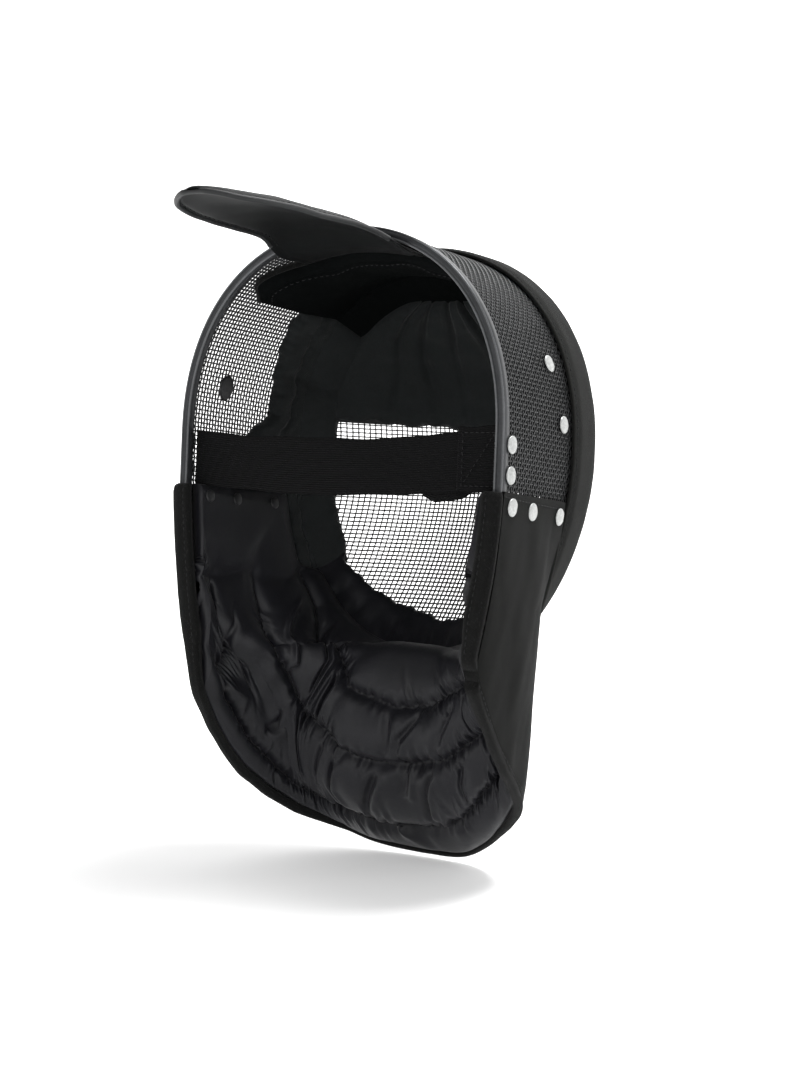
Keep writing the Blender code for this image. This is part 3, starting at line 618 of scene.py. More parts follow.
def cover_strip():
    t = linspace(0, 2 * pi, 300, endpoint=False) - pi / 2
    start = strip_start(t)
    slope = math.hypot(JOINT_HALF, 2 * FACE_DEPTH)
    rows = []
    for share in linspace(0.0, 1.0, 14):
        rows.append(band(t, start + (1 - start) * share))
    for share in linspace(0.0, 1.0, 6)[1:]:
        rows.append(dome(t, 0 * t + 1 - STRIP_LAP * share / slope))
    grid = smooth(stack(rows, 1), 2, 1)
    normal = outward(grid, True)
    place = linspace(0, 1, grid.shape[1])
    puff = 0.45 + 0.5 * clamp(sin(pi * place) * 1.6)
    seam = bell(place - 0.12, 0.02) + bell(place - 0.88, 0.02)
    puff = (puff - 0.13 * seam)[None] * ones((len(t), 1))
    ripple = lumps(grid, 0.030, 3) * 0.05 + 0.02 * sin(t * 140)[:, None] * bell(place - 0.12, 0.08)
    outer = grid + normal * (PAD_GAP + STRIP_WALL * (puff + ripple))[..., None]
    inner = grid + normal * (PAD_GAP + 0.0003)
    made = skin_rings("cover_strip_cloth", wall_rings(inner, outer, 3), "strip", closed=True)
    finish_piece(made, "cover_strip", fill=0.8)
    for n, index in enumerate((2, 16)):
        stitches(f"strip_stitches_{n}", outer[:, index], normal[:, index], 0.0026)


TONGUE_LENGTH, TONGUE_INSIDE, TONGUE_HALF, TONGUE_WALL = 0.172, 0.023, 0.0565, 0.0075
TONGUE_CAMBER, TONGUE_RISE = 0.0085, 0.0115
# Share of the length, of the half width, of the lift and of the camber
TONGUE_SECTIONS = array([
    (0.00, 0.82, 0.00, 1.00), (0.07, 0.86, 0.00, 1.00), (0.13, 0.87, 0.00, 1.00), (0.16, 0.87, 0.22, 1.00),
    (0.21, 0.84, 0.55, 0.95), (0.26, 0.78, 0.85, 0.85), (0.32, 0.74, 1.00, 0.82), (0.50, 0.72, 1.00, 0.82),
    (0.70, 0.68, 1.02, 0.82), (0.80, 0.61, 1.03, 0.78), (0.88, 0.51, 1.05, 0.70), (0.94, 0.38, 1.07, 0.55),
    (0.98, 0.23, 1.10, 0.35), (1.00, 0.09, 1.12, 0.2)])
TONGUE_TAPER = array([(0.0, 1.0), (0.68, 1.0), (0.85, 0.74), (0.95, 0.50), (0.985, 0.34), (1.0, 0.14)])


def tongue():
    tip = 0.9 + 0.1 * sin(linspace(0, 0.5, 24) * pi)
    along = concatenate([linspace(0, 0.9, 60)[:-1], tip])
    half, lift, camber = (interp(along, TONGUE_SECTIONS[:, 0], TONGUE_SECTIONS[:, k]) for k in (1, 2, 3))
    half[:-3], lift, camber = smooth(half, 5)[:-3], smooth(lift, 4), smooth(camber, 4)
    top = RIM_TOP - MESH_WALL - RIM_SKIN - CLEAR - 0.0002
    angle = linspace(0, 2 * pi, 64, endpoint=False)
    cross = power(cos(angle), 0.8)
    y = RIM_Y - TONGUE_INSIDE + TONGUE_LENGTH * along
    x = TONGUE_HALF * half[:, None] * cross
    middle = top - TONGUE_WALL / 2 + 0.7 * TONGUE_RISE * lift[:, None]
    middle = middle - TONGUE_CAMBER * camber[:, None] * cross ** 2
    taper = smooth(interp(along, TONGUE_TAPER[:, 0], TONGUE_TAPER[:, 1]), 2)[:, None]
    middle = middle - 0.8 * (1 - taper) * TONGUE_WALL / 2
    thick = TONGUE_WALL / 2 * (0.42 + 0.58 * np.sqrt(clamp(1 - cross ** 4))) * taper
    rounded = power(sin(angle), 0.75)
    rings = stack([x, y[:, None] + 0 * x, middle + thick * rounded], -1)
    wobble = lumps(rings, 0.05, 11, 2) * 0.00035
    rings[..., 2] += wobble
    dip = bell(np.abs(cross) - 0.86, 0.035) * 0.0006
    rings[..., 2] -= dip * np.sign(rounded)
    made = skin_rings("tongue_cover", rings, "tongue")
    finish_piece(made, "tongue", fill=0.7)
    keep = along > 0.2
    left = rings[keep, 0] + array([-0.0012, 0, 0])
    right = rings[keep, 32] + array([0.0012, 0, 0])
    path = smooth(concatenate([left, right[::-1][1:]]), 2)
    path[:, 1] = minimum(path[:, 1], RIM_Y - TONGUE_INSIDE + TONGUE_LENGTH - 0.0016)
    # The piping is real; its lighter cloth is a painted highlight along the tongue's edge
    finish_piece(tube_along("tongue_piping", path, 0.0017, "tongue_edge_highlight", 12))
    for name, sign in (("under", -1), ("upper", 1)):
        lines = []
        for side in (1, -1):
            index = np.argmin(np.abs(cross - side * 0.86) + 9 * (np.sign(rounded) != sign))
            lines.append(rings[keep, index])
        path = concatenate([lines[0][:-3], lines[1][::-1][3:]])
        normal = np.tile(array([[0.0, 0.0, float(sign)]]), (len(path), 1))
        stitches(f"tongue_stitches_{name}", path, normal, gap=0.0018)


STRAP_TOP_Z, STRAP_WIDTH, STRAP_WALL, STRAP_SAG, STRAP_END_X = -0.109, 0.0365, 0.002, 0.005, 0.096


def flat_band(name, x, z_top, z_low, y, thickness, columns, puff=None):
    top = stack([x, 0 * x, z_top], -1)
    low = stack([x, 0 * x, z_low], -1)
    share = linspace(0, 1, columns)
    front = blend(top[:, None], low[:, None], share[None] * ones((len(top), 1)))
    front[..., 1] = y
    if puff is not None:
        front[..., 1] += puff(front)
    rear = front + array([0.0, thickness, 0.0])
    edge = clamp(minimum(share, 1 - share) / 0.03)
    squeeze = (0.5 - 0.5 * np.sqrt(1 - (1 - edge) ** 2))[None, :, None] * array([0.0, thickness, 0.0])
    return skin_rings(name, wall_rings(front + squeeze, rear - squeeze, 2), "strap")


def strap():
    edge_x = RIM_HALF - MESH_WALL - RIM_SKIN - CLEAR
    low_z = STRAP_TOP_Z - STRAP_WIDTH

    def sag_at(x):
        return STRAP_SAG * (1 - ((2 * x - edge_x + STRAP_END_X) / (edge_x + STRAP_END_X)) ** 2)

    def puff(grid):
        return 0.0007 * sin(grid[..., 0] * 38) * sin(grid[..., 2] * 90) - 0.0002

    x = linspace(edge_x, -STRAP_END_X, 120)
    sag = sag_at(x)
    y = RIM_Y - RIM_DEPTH - CLEAR - STRAP_WALL
    wavy = 0.0005 * sin(x * 60) + 0.0003 * sin(x * 140 + 1)
    made = flat_band("back_strap_webbing", x, STRAP_TOP_Z - sag + wavy, low_z - sag - 0.6 * wavy,
                     y, STRAP_WALL, 28, puff)
    finish_piece(made, "back_strap")

    x = -linspace(edge_x - 0.030, edge_x, 30)
    tab_y = RIM_Y - RIM_DEPTH + CLEAR
    wavy = 0.0006 * sin(x * 210)
    tab = flat_band("strap_tab_webbing", x, STRAP_TOP_Z + 0.003 + wavy, low_z - 0.0009 + 0.5 * wavy,
                    tab_y + 0.0002, STRAP_WALL - 0.0004, 24)
    finish_piece(tab, "strap_tab")
    up, down = STRAP_TOP_Z - 0.001, low_z + 0.003
    a, b = -edge_x + 0.004, -edge_x + 0.0265
    corners = [(a, up), (b, up), (b, down), (a, down), (a, up), (b, down)]
    line = []
    for (x0, z0), (x1, z1) in zip(corners[:-1], corners[1:]):
        for s in linspace(0, 1, 24, endpoint=False):
            line.append((x0 + (x1 - x0) * s, tab_y + STRAP_WALL, z0 + (z1 - z0) * s))
    stitches("tab_stitches", line, np.tile([[0.0, 1.0, 0.0]], (len(line), 1)), 0.0024, 0.0014, 0)

    x = linspace(-0.098, -0.062, 20)
    fall = interp(x, [-0.098, -0.090, -0.070, -0.062], [0.0, 0.0045, 0.0055, 0.0015])
    low = low_z - sag_at(x)
    tail = flat_band("strap_tail", x, low + 0.010, low - fall, y - STRAP_WALL - 0.0006, STRAP_WALL, 12)
    finish_piece(tail)


# Pads: a wall whose inner side swells between seams
def pad_piece(name, outer, normal, thick, mat, fill):
    inner = outer - normal * thick[..., None]
    finish_piece(skin_rings(f"{name}_cushion", wall_rings(inner, outer, 4), mat), name, fill=fill)
    return inner


def crown_pad():
    spread = radians(46)
    t, u = grid_of(linspace(-spread, spread, 130), linspace(0, 1, 64))
    turn = t / spread
    rear = interp(90 + np.degrees(t), [42, 46, 49, 51, 54, 58, 66, 74, 90, 138],
                  [0.30, 0.23, 0.15, 0.115, 0.112, 0.14, 0.245, 0.275, 0.235, 0.21])
    rear = smooth(rear, 3)
    front = 1.182
    q = rear + (front - rear) * u
    u = clamp((q - rear) / (0.094 / JOINT_DEPTH - rear))
    angle = pi / 2 + t
    outer = inside_skin(angle, q, MESH_WALL + PAD_GAP + 0 * t)
    wall = 0.0148 + (0.0085 - 0.0148) * turn ** 2
    wall = wall + (0.0066 - wall) * clamp((q - 0.7) / 0.25)
    edge = clamp(1 - np.abs(turn) ** 14) ** 0.5 * clamp(1 - 0.8 * (1 - u) ** 12) ** 0.6
    folds = 0.06 * sin(turn * 15 + 2 * u) * bell(u - 0.2, 0.35) + 0.05 * lumps(outer, 0.045, 21)
    seam = bell(u - 0.13, 0.022)
    thick = wall * (edge * (1 + folds - 0.14 * seam)).clip(0.06, 1.25)
    normal = outward(outer)
    # The crown pad's cloth is the darker copy: painted shade
    inner = pad_piece("crown_pad", outer, normal, thick, "pad", 0.7)
    roll = blend(outer[:, 0], inner[:, 0], 0 * turn[:, 0] + 0.5)
    size = np.clip(0.45 * thick[:, 0], 0.0012, 0.0042)
    finish_piece(tube_along("crown_pad_binding", roll, size, "edge", 14))
    stitches("crown_stitches", inner[3:-3, 6], -normal[3:-3, 6], 0.0024, 0.0018, 0)


def forehead_pad():
    w, u = grid_of(linspace(0, 1, 70), linspace(-1, 1, 110))
    rise = JOINT_TOP - JOINT_WIDE_Z
    z = JOINT_WIDE_Z + rise * (0.166 + (0.865 - 0.166) * w)
    high = np.abs(z - JOINT_WIDE_Z) / rise
    half = JOINT_HALF * (0.885 ** JOINT_SQUARE_TOP - high ** JOINT_SQUARE_TOP) ** (1 / JOINT_SQUARE_TOP)
    ragged = 0.0012 * sin(u * 43) + 0.0009 * sin(u * 17 + 1) + 0.0018 * u
    grid = dome_over(half * u, z + ragged * bell(w, 0.08))
    normal = outward(grid)
    outer = grid - normal * (MESH_WALL + 2 * PAD_GAP)
    edge = clamp(1 - np.abs(u) ** 12) ** 0.5
    edge = edge * np.clip(1 - clamp((w - 0.9) / 0.1) ** 2, 0.05, 1) ** 0.5
    edge = edge * clamp(0.45 + 0.55 * np.sqrt(clamp(w / 0.12)))
    pleats = 0
    for place, tilt, deep, wide in (
            (-0.32, 0.10, 0.42, 0.035), (-0.55, -0.12, 0.36, 0.030), (-0.66, 0.06, 0.40, 0.030),
            (-0.82, 0.0, 0.28, 0.028), (0.12, -0.06, 0.26, 0.035), (0.42, 0.10, 0.30, 0.035),
            (0.66, 0.05, 0.26, 0.03)):
        line = place + tilt * (w - 0.5) + 0.02 * sin(w * 9 + place * 20)
        pleats = pleats + deep * bell(u - line, wide) * (0.35 + 0.65 * w)
        lip = bell(u - line - 2.2 * wide, 1.6 * wide)
        pleats = pleats - 0.45 * deep * lip * (0.35 + 0.65 * w)
    thick = 0.0108 * (edge * (1.0 - pleats + 0.10 * lumps(grid, 0.04, 5))).clip(0.08, 1.5)
    # The forehead pad's cloth is the lighter copy: painted light
    pad_piece("forehead_pad", outer, normal, thick, "pad_face_lit", 0.6)


def cheek_pads():
    t, u = grid_of(np.radians(linspace(-38.0, 46.5, 130)), linspace(0, 1, 60))
    place = linspace(0, 1, 130)[:, None]
    ragged = 0.004 * sin(place * 41) + 0.003 * sin(place * 97 + 1) + 0.002 * sin(place * 190)
    for side, name in ((1, "cheek_pad_left"), (-1, "cheek_pad_right")):
        cut = 0.0012 * sin(place * 60 + side) + 0.0007 * sin(place * 173)
        above = clamp((t + radians(13.0)) / radians(0.7))
        degree = np.degrees(t)
        edge_left = interp(degree, [-13, 1, 4, 8, 17, 25, 33, 40, 47],
                           [0.50, 0.53, 0.60, 0.725, 0.715, 0.685, 0.66, 0.645, 0.67])
        rear = 0.0985 / JOINT_DEPTH + (edge_left - 0.0985 / JOINT_DEPTH) * above
        # On the right only, the pad reaches back almost to the rim behind the side mesh; this extension is a
        # dark sheet standing in for the shade seen through the mesh there, while the left keeps its window
        if side < 0:
            rear = (0.0985 + (0.010 - 0.0985) * above) / JOINT_DEPTH
        rear = rear + cut / JOINT_DEPTH
        front = interp(degree, [-38, -30, -22, -15, 0, 46], [1.13, 1.158, 1.153, 1.157, 1.165, 1.185])
        front = front + ragged * (0.6 if side > 0 else 0.8) * (t < 0.1)
        grid = inside_skin(t, rear + (front - rear) * u, MESH_WALL + PAD_GAP + 0 * t)
        grid = grid * array([side, 1, 1])
        ends = np.abs(2 * place - 1)
        edge = (np.clip(1 - np.abs(2 * u - 1) ** 9, 0.06, 1) ** 0.5
                * np.clip(1 - ends ** 16, 0.06, 1) ** 0.5)
        valley = 0.25 * bell(place - 0.70, 0.03) + 0.18 * bell(u - 0.36, 0.05)
        folds = 0.12 * lumps(grid, 0.045, 31 + side) - valley
        pad_piece(name, grid, outward(grid), 0.0084 * (edge * (1 + folds)).clip(0.08, 1.4), "pad_face_lit", 0.55)


# The top edge of the lining: how far forward and how far round, by its share from the free edge to the chin
LINING_SHARES = [0.0, 0.4, 0.5, 0.6, 1.0]


def lining_front(a):
    return interp(a, LINING_SHARES, [0.005, 0.83, 0.83, 1.0, 1.075])


def lining_angle(a):
    return -np.radians(interp(a, LINING_SHARES, [LINING_TOP_ANGLE, LINING_TOP_ANGLE, 34.0, 37.5, 90.0]))


def chin_pad():
    u, w = grid_of(linspace(-1, 1, 150), linspace(0, 1, 40))
    t = np.radians(32.0 + 58.0 * (1 - np.abs(u)))
    window = interp(np.degrees(t), [28, 33, 37.6, 48.4, 60.4, 70.4, 80.8, 90],
                    [0.84, 0.855, 0.875, 0.846, 0.814, 0.788, 0.783, 0.80])
    window = window + 0.0035 * sin(u * 31) + 0.0028 * sin(u * 71 + 1) + 0.002 * sin(u * 160)
    shares = linspace(0.6, 1, 30)
    meet = 2 - interp(t, -lining_angle(shares), lining_front(shares)) + 0.05
    angle = where(u <= 0, -pi + t, -t)
    outer = inside_skin(angle, 2 - (window + (meet - window) * w), MESH_WALL + PAD_GAP + 0 * t)
    edge = np.clip(1 - np.abs(2 * w - 1) ** 8, 0.06, 1) ** 0.5 * np.clip(1 - np.abs(u) ** 14, 0.06, 1) ** 0.5
    folds = 0.16 * sin(u * 46 + 3 * w) * bell(w - 0.7, 0.4) + 0.15 * lumps(outer, 0.03, 41)
    thick = 0.0066 * (edge * (1 + folds)).clip(0.08, 1.5)
    pad_piece("chin_pad", outer, outward(outer), thick, "lining", 0.5)


# The bib and its lining: the hem's drop by its share of the way forward, and the waist by its share down
HEM = array([(0.0, 0.0), (0.02, 0.11), (0.16, 0.32), (0.27, 0.46), (0.39, 0.585), (0.56, 0.715),
             (0.72, 0.82), (0.83, 0.87), (0.92, 0.92), (1.0, 1.0)])
WAIST = array([(0.0, 0.0), (0.12, 0.12), (0.22, 0.55), (0.36, 1.0), (0.55, 0.78), (0.75, 0.38),
               (0.92, 0.06), (1.0, 0.0)])


def bib_top(a):
    chin = clamp((a - BIB_SIDE_SHARE) / (1 - BIB_SIDE_SHARE))
    start = radians(BIB_TOP_ANGLE)
    t = -(start + (pi / 2 - start) * chin)
    front = strip_start(t) - (0.0045 + 0.0015 * chin ** 2) / reach(t)
    rear = -(RIM_SKIN + 2 * CLEAR) / JOINT_DEPTH
    v = rear + (front - rear) * clamp(a / BIB_SIDE_SHARE)
    point, normal = frame_at(band, t, v)
    return point + normal * (RIM_SKIN + CLEAR + 0.0001 + (JAW_EASE + 0.0018) * clamp(3 * chin))[..., None]


def hem_turn(a):
    return pi / 2 * asarray(a) ** 1.1


def bib_hem(a, side=1):
    turn = hem_turn(a)
    ahead = clamp(sin(turn)) ** (2 / BIB_SQUARE)
    x = (BIB_HALF - BIB_WALL) * clamp(cos(turn)) ** (2 / BIB_SQUARE)
    drop = interp(ahead, HEM[:, 0], HEM[:, 1])
    z = BIB_SIDE_Z + (BIB_BOTTOM_Z - BIB_SIDE_Z) * drop
    hem = stack([x, RIM_Y + RIM_SKIN + CLEAR - BIB_DEPTH * ahead, z], -1)
    if side < 0:
        share = clamp((x - 0.2 * BIB_HALF) / (0.7 * BIB_HALF))
        top = bib_top(a)
        hem = blend(hem, top, BIB_RIGHT_RISE * share ** 2 * (3 - 2 * share) / (top[..., 2] - z))
    return hem


def plan_out(a):
    turn = hem_turn(a)
    return stack([cos(turn), -sin(turn), 0 * turn], -1)


def bib_surface(a, w, side=1):
    front = clamp((a - 0.25) / 0.25)
    waist = interp(w, WAIST[:, 0], WAIST[:, 1])
    off = BIB_BULGE * sin(pi * w) - BIB_WAIST * waist * front ** 2 * (3 - 2 * front)
    return blend(bib_top(a), bib_hem(a, side), w) + plan_out(a) * off[..., None]


def mirror_half(left, right=None):
    other = (left if right is None else right)[-2::-1] * array([-1.0, 1.0, 1.0])
    return concatenate([left, other])


def stations(count):
    return linspace(0, 1, count) ** 1.1


def bib():
    a, w = grid_of(stations(120), linspace(0, 1, 90))
    grid = smooth(mirror_half(bib_surface(a, w), bib_surface(a, w, -1)), 3)
    grid = smooth(grid, 4, 1)
    normal = outward(grid)
    wide = concatenate([a, a[-2::-1]])
    tall = w[0][None] * ones((len(grid), 1))
    folds = 0.0010 * lumps(grid * array([1, 1, 0.45]), 0.07, 51, 3)
    crease = 0.0012 * bell(tall - 0.36 - 0.05 * sin(wide * 9), 0.014)
    crease = crease * bell(wide - 0.40, 0.16)
    drape = 0.0012 * sin(wide * 40) * clamp(tall) ** 2 * clamp(1 - wide)
    lift = folds * clamp(tall * 8) * clamp((1 - tall) * 10 + 0.2) - crease + drape * 0.6
    seam = bell(tall - 0.975, 0.004) + bell(tall - 0.028, 0.004)
    thick = BIB_WALL * clamp(1 - 0.35 * seam)
    outer = grid + normal * (thick + np.clip(lift, -0.0004, 0.003))[..., None]
    inner = grid + normal * 0.0001
    made = skin_rings("bib_cloth", wall_rings(inner, outer, 2), "bib", smooth_angle=60)
    finish_piece(made, "bib")
    size = norm(diff(grid[:, 45], axis=0), axis=-1).sum()
    e1 = grid[1:, :-1] - grid[:-1, :-1]
    e2 = grid[:-1, 1:] - grid[:-1, :-1]
    area = float(norm(np.cross(e1, e2), axis=-1).sum())
    tall_size = float(norm(diff(grid[len(grid) // 2], axis=0), axis=-1).sum())
    for name, part, row in (("bib_top_stitches_left", slice(48), 3),
                            ("bib_top_stitches_right", slice(-48, None), 3),
                            ("bib_hem_stitches", slice(2, -2), 87)):
        stitches(name, outer[part, row], normal[part, row])


def jaw_angle(a):
    return -pi / 2 * (LEG_SHARE + (1 - LEG_SHARE) * a ** 0.9)


def lining_outer(a, upper, lower, side=1):
    past_rim = JAW_ROOM * clamp((a - 0.02) / 0.3) ** 0.7 / reach(jaw_angle(a))
    top_q, rim_q = lining_front(a), lining_front(0.0) - past_rim
    share = upper[None]
    t = lining_angle(a)[:, None] + (jaw_angle(a) - lining_angle(a))[:, None] * share
    q = top_q[:, None] + (rim_q - top_q)[:, None] * share
    wall = inside_skin(t, q, INSIDE + 1.6 * JAW_EASE + 0 * t)
    edge = wall[:, -1]
    out = plan_out(a)
    hem = bib_surface(a, 0 * a + 0.985, side) - out * 0.0008
    top_z = bib_top(a)[:, 2]
    level = (top_z - (edge[:, 2] + hem[:, 2]) / 2) / (top_z - bib_hem(a, side)[:, 2])
    middle = bib_surface(a, level, side) - out * (LINING_ROOM * (0.35 + 0.65 * a))[:, None]
    w = lower[None, :, None]
    hang = edge[:, None] * (1 - w) * (1 - 2 * w) + middle[:, None] * 4 * w * (1 - w)
    hang = hang + hem[:, None] * w * (2 * w - 1)
    return concatenate([wall, hang], 1)


LINING_COLUMNS = 210
LINING_ROWS = (84, 110)


def lining_base():
    a = 0.006 + 0.994 * linspace(0, 1, LINING_COLUMNS) ** 1.05
    upper = linspace(0, 1, LINING_ROWS[0])
    lower = linspace(0, 1, LINING_ROWS[1] + 1)[1:]
    outer = mirror_half(lining_outer(a, upper, lower), lining_outer(a, upper, lower, -1))
    outer = smooth(smooth(outer, 8, 1), 4, 0)
    outer[..., 1] = minimum(outer[..., 1], RIM_Y + RIM_SKIN)
    return a, outer


# Seams and creases of the lining, as lines of station and row in thousandths: station 0 at the left
# free edge, 1000 at the chin and 2000 at the right free edge; row 0 at the top and 1000 at the hem
SEAMS = [
    (0, 490, 50, 430, 100, 380, 200, 310, 300, 260, 400, 220, 450, 170, 530, 30),
    (530, 30, 585, 65, 653, 86, 690, 137, 730, 300, 770, 432, 867, 525, 958, 554, 1000, 568, 1098, 554,
     1188, 518, 1300, 490, 1443, 460, 1700, 440, 2000, 420),
    (435, 187, 476, 237, 496, 388, 496, 446, 530, 518, 571, 583, 633, 626, 791, 662, 888, 712, 944,
     727, 1000, 727, 1133, 705, 1216, 683, 1299, 662, 1500, 640, 1750, 610, 2000, 590),
    (191, 353, 152, 511, 100, 660, 55, 800, 75, 860, 120, 871, 204, 900, 302, 910, 415, 930, 557, 930,
     756, 906, 846, 910, 902, 920, 979, 925, 1035, 915, 1133, 892, 1278, 842, 1500, 800, 1750, 780,
     2000, 760),
]
# Each crease: its depth and width as shares, then its line
CREASES = [
    (0.5, 1.0, 993, 576, 993, 647, 986, 719),
    (0.5, 1.0, 1077, 576, 1014, 655, 1000, 712),
    (0.5, 1.0, 1112, 719, 1077, 791, 1056, 885),
    (0.55, 1.3, 965, 748, 916, 842, 902, 878),
    (0.55, 1.3, 860, 712, 798, 820, 840, 914),
    (0.5, 1.6, 715, 43, 715, 439, 660, 576),
    (0.55, 1.5, 784, 453, 791, 525, 729, 647),
    (-0.45, 1.8, 605, 108, 571, 432, 510, 475),
    (0.4, 1.7, 476, 612, 269, 813, 249, 856),
    (0.55, 1.4, 585, 633, 551, 748, 503, 856),
    (0.3, 1.6, 322, 935, 355, 1000),
    (0.3, 1.2, 578, 928, 578, 993),
    (0.28, 1.6, 342, 338, 184, 633, 210, 755),
    (0.3, 1.2, 1028, 741, 1007, 813),
    (0.35, 1.2, 1244, 540, 1140, 633, 1119, 683),
    (0.4, 1.4, 791, 691, 701, 820),
    (-0.35, 1.6, 740, 460, 700, 540, 640, 600),
    (0.45, 1.2, 1350, 500, 1300, 580, 1320, 650),
    (0.45, 1.3, 1450, 680, 1400, 740, 1420, 800),
    (0.4, 1.4, 1620, 460, 1580, 540, 1600, 620),
    (0.4, 1.4, 1220, 720, 1190, 780, 1200, 850),
]
STATION_LENGTH, ROW_LENGTH = 0.30, 0.25


def near_line(station, row, line):
    points = line * array([STATION_LENGTH, ROW_LENGTH])
    place = stack([station * STATION_LENGTH, row * ROW_LENGTH], -1)
    best = np.full(station.shape, 9.0)
    along = np.zeros(station.shape)
    side = ones(station.shape)
    run = 0.0
    for p, q in zip(points[:-1], points[1:]):
        way = q - p
        length = float(np.hypot(*way))
        share = clamp(((place - p) @ way) / length ** 2)
        gap = place - p - share[..., None] * way
        distance = np.hypot(gap[..., 0], gap[..., 1])
        closer = distance < best
        best = where(closer, distance, best)
        along = where(closer, run + share * length, along)
        side = where(closer, np.sign(gap[..., 0] * way[1] - gap[..., 1] * way[0]), side)
        run += length
    return best, along, side, run


def bib_lining():
    half_a, outer = lining_base()
    rows = outer.shape[1]
    station = concatenate([half_a, 2 - half_a[-2::-1]])[:, None] * ones((1, rows))
    row = linspace(0, 1, rows)[None] * ones((len(outer), 1))
    normal = outward(outer)
    top = clamp(row / 0.05)
    hem = clamp((1 - row) / 0.12)
    base = LINING_WALL * (0.45 + 0.62 * np.sqrt(top)) * (0.30 + 0.70 * hem ** 0.6)
    low_row = clamp((row - 0.30) / 0.15)
    base = base * (1 + 0.25 * low_row)
    puff = np.ones_like(row)
    pucker = np.zeros_like(row)
    gen = np.random.default_rng(12)
    seams = [array(line).reshape(-1, 2) / 1000 for line in SEAMS]
    for index, line in enumerate(seams):
        distance, along, side, run = near_line(station, row, line)
        depth = 0.30 if index == 0 else 0.66
        puff = puff * (1 - depth * np.exp(-(distance / 0.0042) ** 1.5))
        puff = puff * (1 - 0.26 * bell(distance, 0.016))
        if index == 0:
            continue
        for _ in range(int(run / 0.0026)):
            at = gen.uniform(0, run)
            face = gen.choice([-1, 1])
            long = gen.uniform(0.004, 0.009) if gen.random() < 0.8 else gen.uniform(0.010, 0.017)
            wide = gen.uniform(0.0011, 0.0020) * (1 + long * 50)
            slant = gen.uniform(-0.5, 0.5)
            height = gen.uniform(0.06, 0.20)
            shift = along - at - slant * distance
            fade = bell(distance, long) * (side == face)
            ridge = bell(shift, wide) - 0.8 * bell(shift - 1.9 * wide, wide)
            pucker = pucker + height * fade * ridge
    for depth, width, *line in CREASES:
        distance, along, side, run = near_line(station, row, array(line).reshape(-1, 2) / 1000)
        ends = np.clip(minimum(along, run - along) / (0.2 * run), 0.15, 1)
        narrow = 0.0021 * width
        puff = puff - depth * ends * bell(distance, narrow) * 0.75
        lip = bell(distance * side - 2.1 * narrow, 1.7 * narrow)
        puff = puff + 0.30 * depth * ends * lip
    slack = clamp((row - 0.2) / 0.12)
    broad = lumps(outer, 0.060, 71, 2)
    stripes = sin(station * 26 + row * 30 + 2.5 * lumps(outer, 0.07, 73, 1))
    thick = base * (puff + pucker * slack + 0.07 * broad * (0.3 + 0.7 * slack) + 0.05 * stripes * slack)
    thick = np.clip(thick, 0.0011, 0.0145)
    inner = outer - normal * thick[..., None]
    inner[..., 1] = minimum(inner[..., 1], RIM_Y + RIM_SKIN)
    made = skin_rings("bib_lining_quilt", wall_rings(inner, outer, 3, 26), "lining")
    finish_piece(made, "bib_lining", fill=0.35)
    for index, line in enumerate(seams[1:]):
        steps = np.hypot(*(diff(line, axis=0) * [STATION_LENGTH, ROW_LENGTH]).T)
        arc = concatenate([[0], np.cumsum(steps)])
        at = linspace(0, arc[-1], 400)
        s, r = interp(at, arc, line[:, 0]), interp(at, arc, line[:, 1])
        place = interp(s, station[:, 0], arange(len(station)))
        depth_row = r * (rows - 1)
        i, j = place.astype(int).clip(0, len(station) - 2), depth_row.astype(int).clip(0, rows - 2)
        fi, fj = (place - i)[:, None], (depth_row - j)[:, None]
        path = (inner[i, j] * (1 - fi) * (1 - fj) + inner[i + 1, j] * fi * (1 - fj)
                + inner[i, j + 1] * (1 - fi) * fj + inner[i + 1, j + 1] * fi * fj)
        stitches(f"lining_stitches_{index}", path, -normal[i, j], 0.0024, off=0.0004)


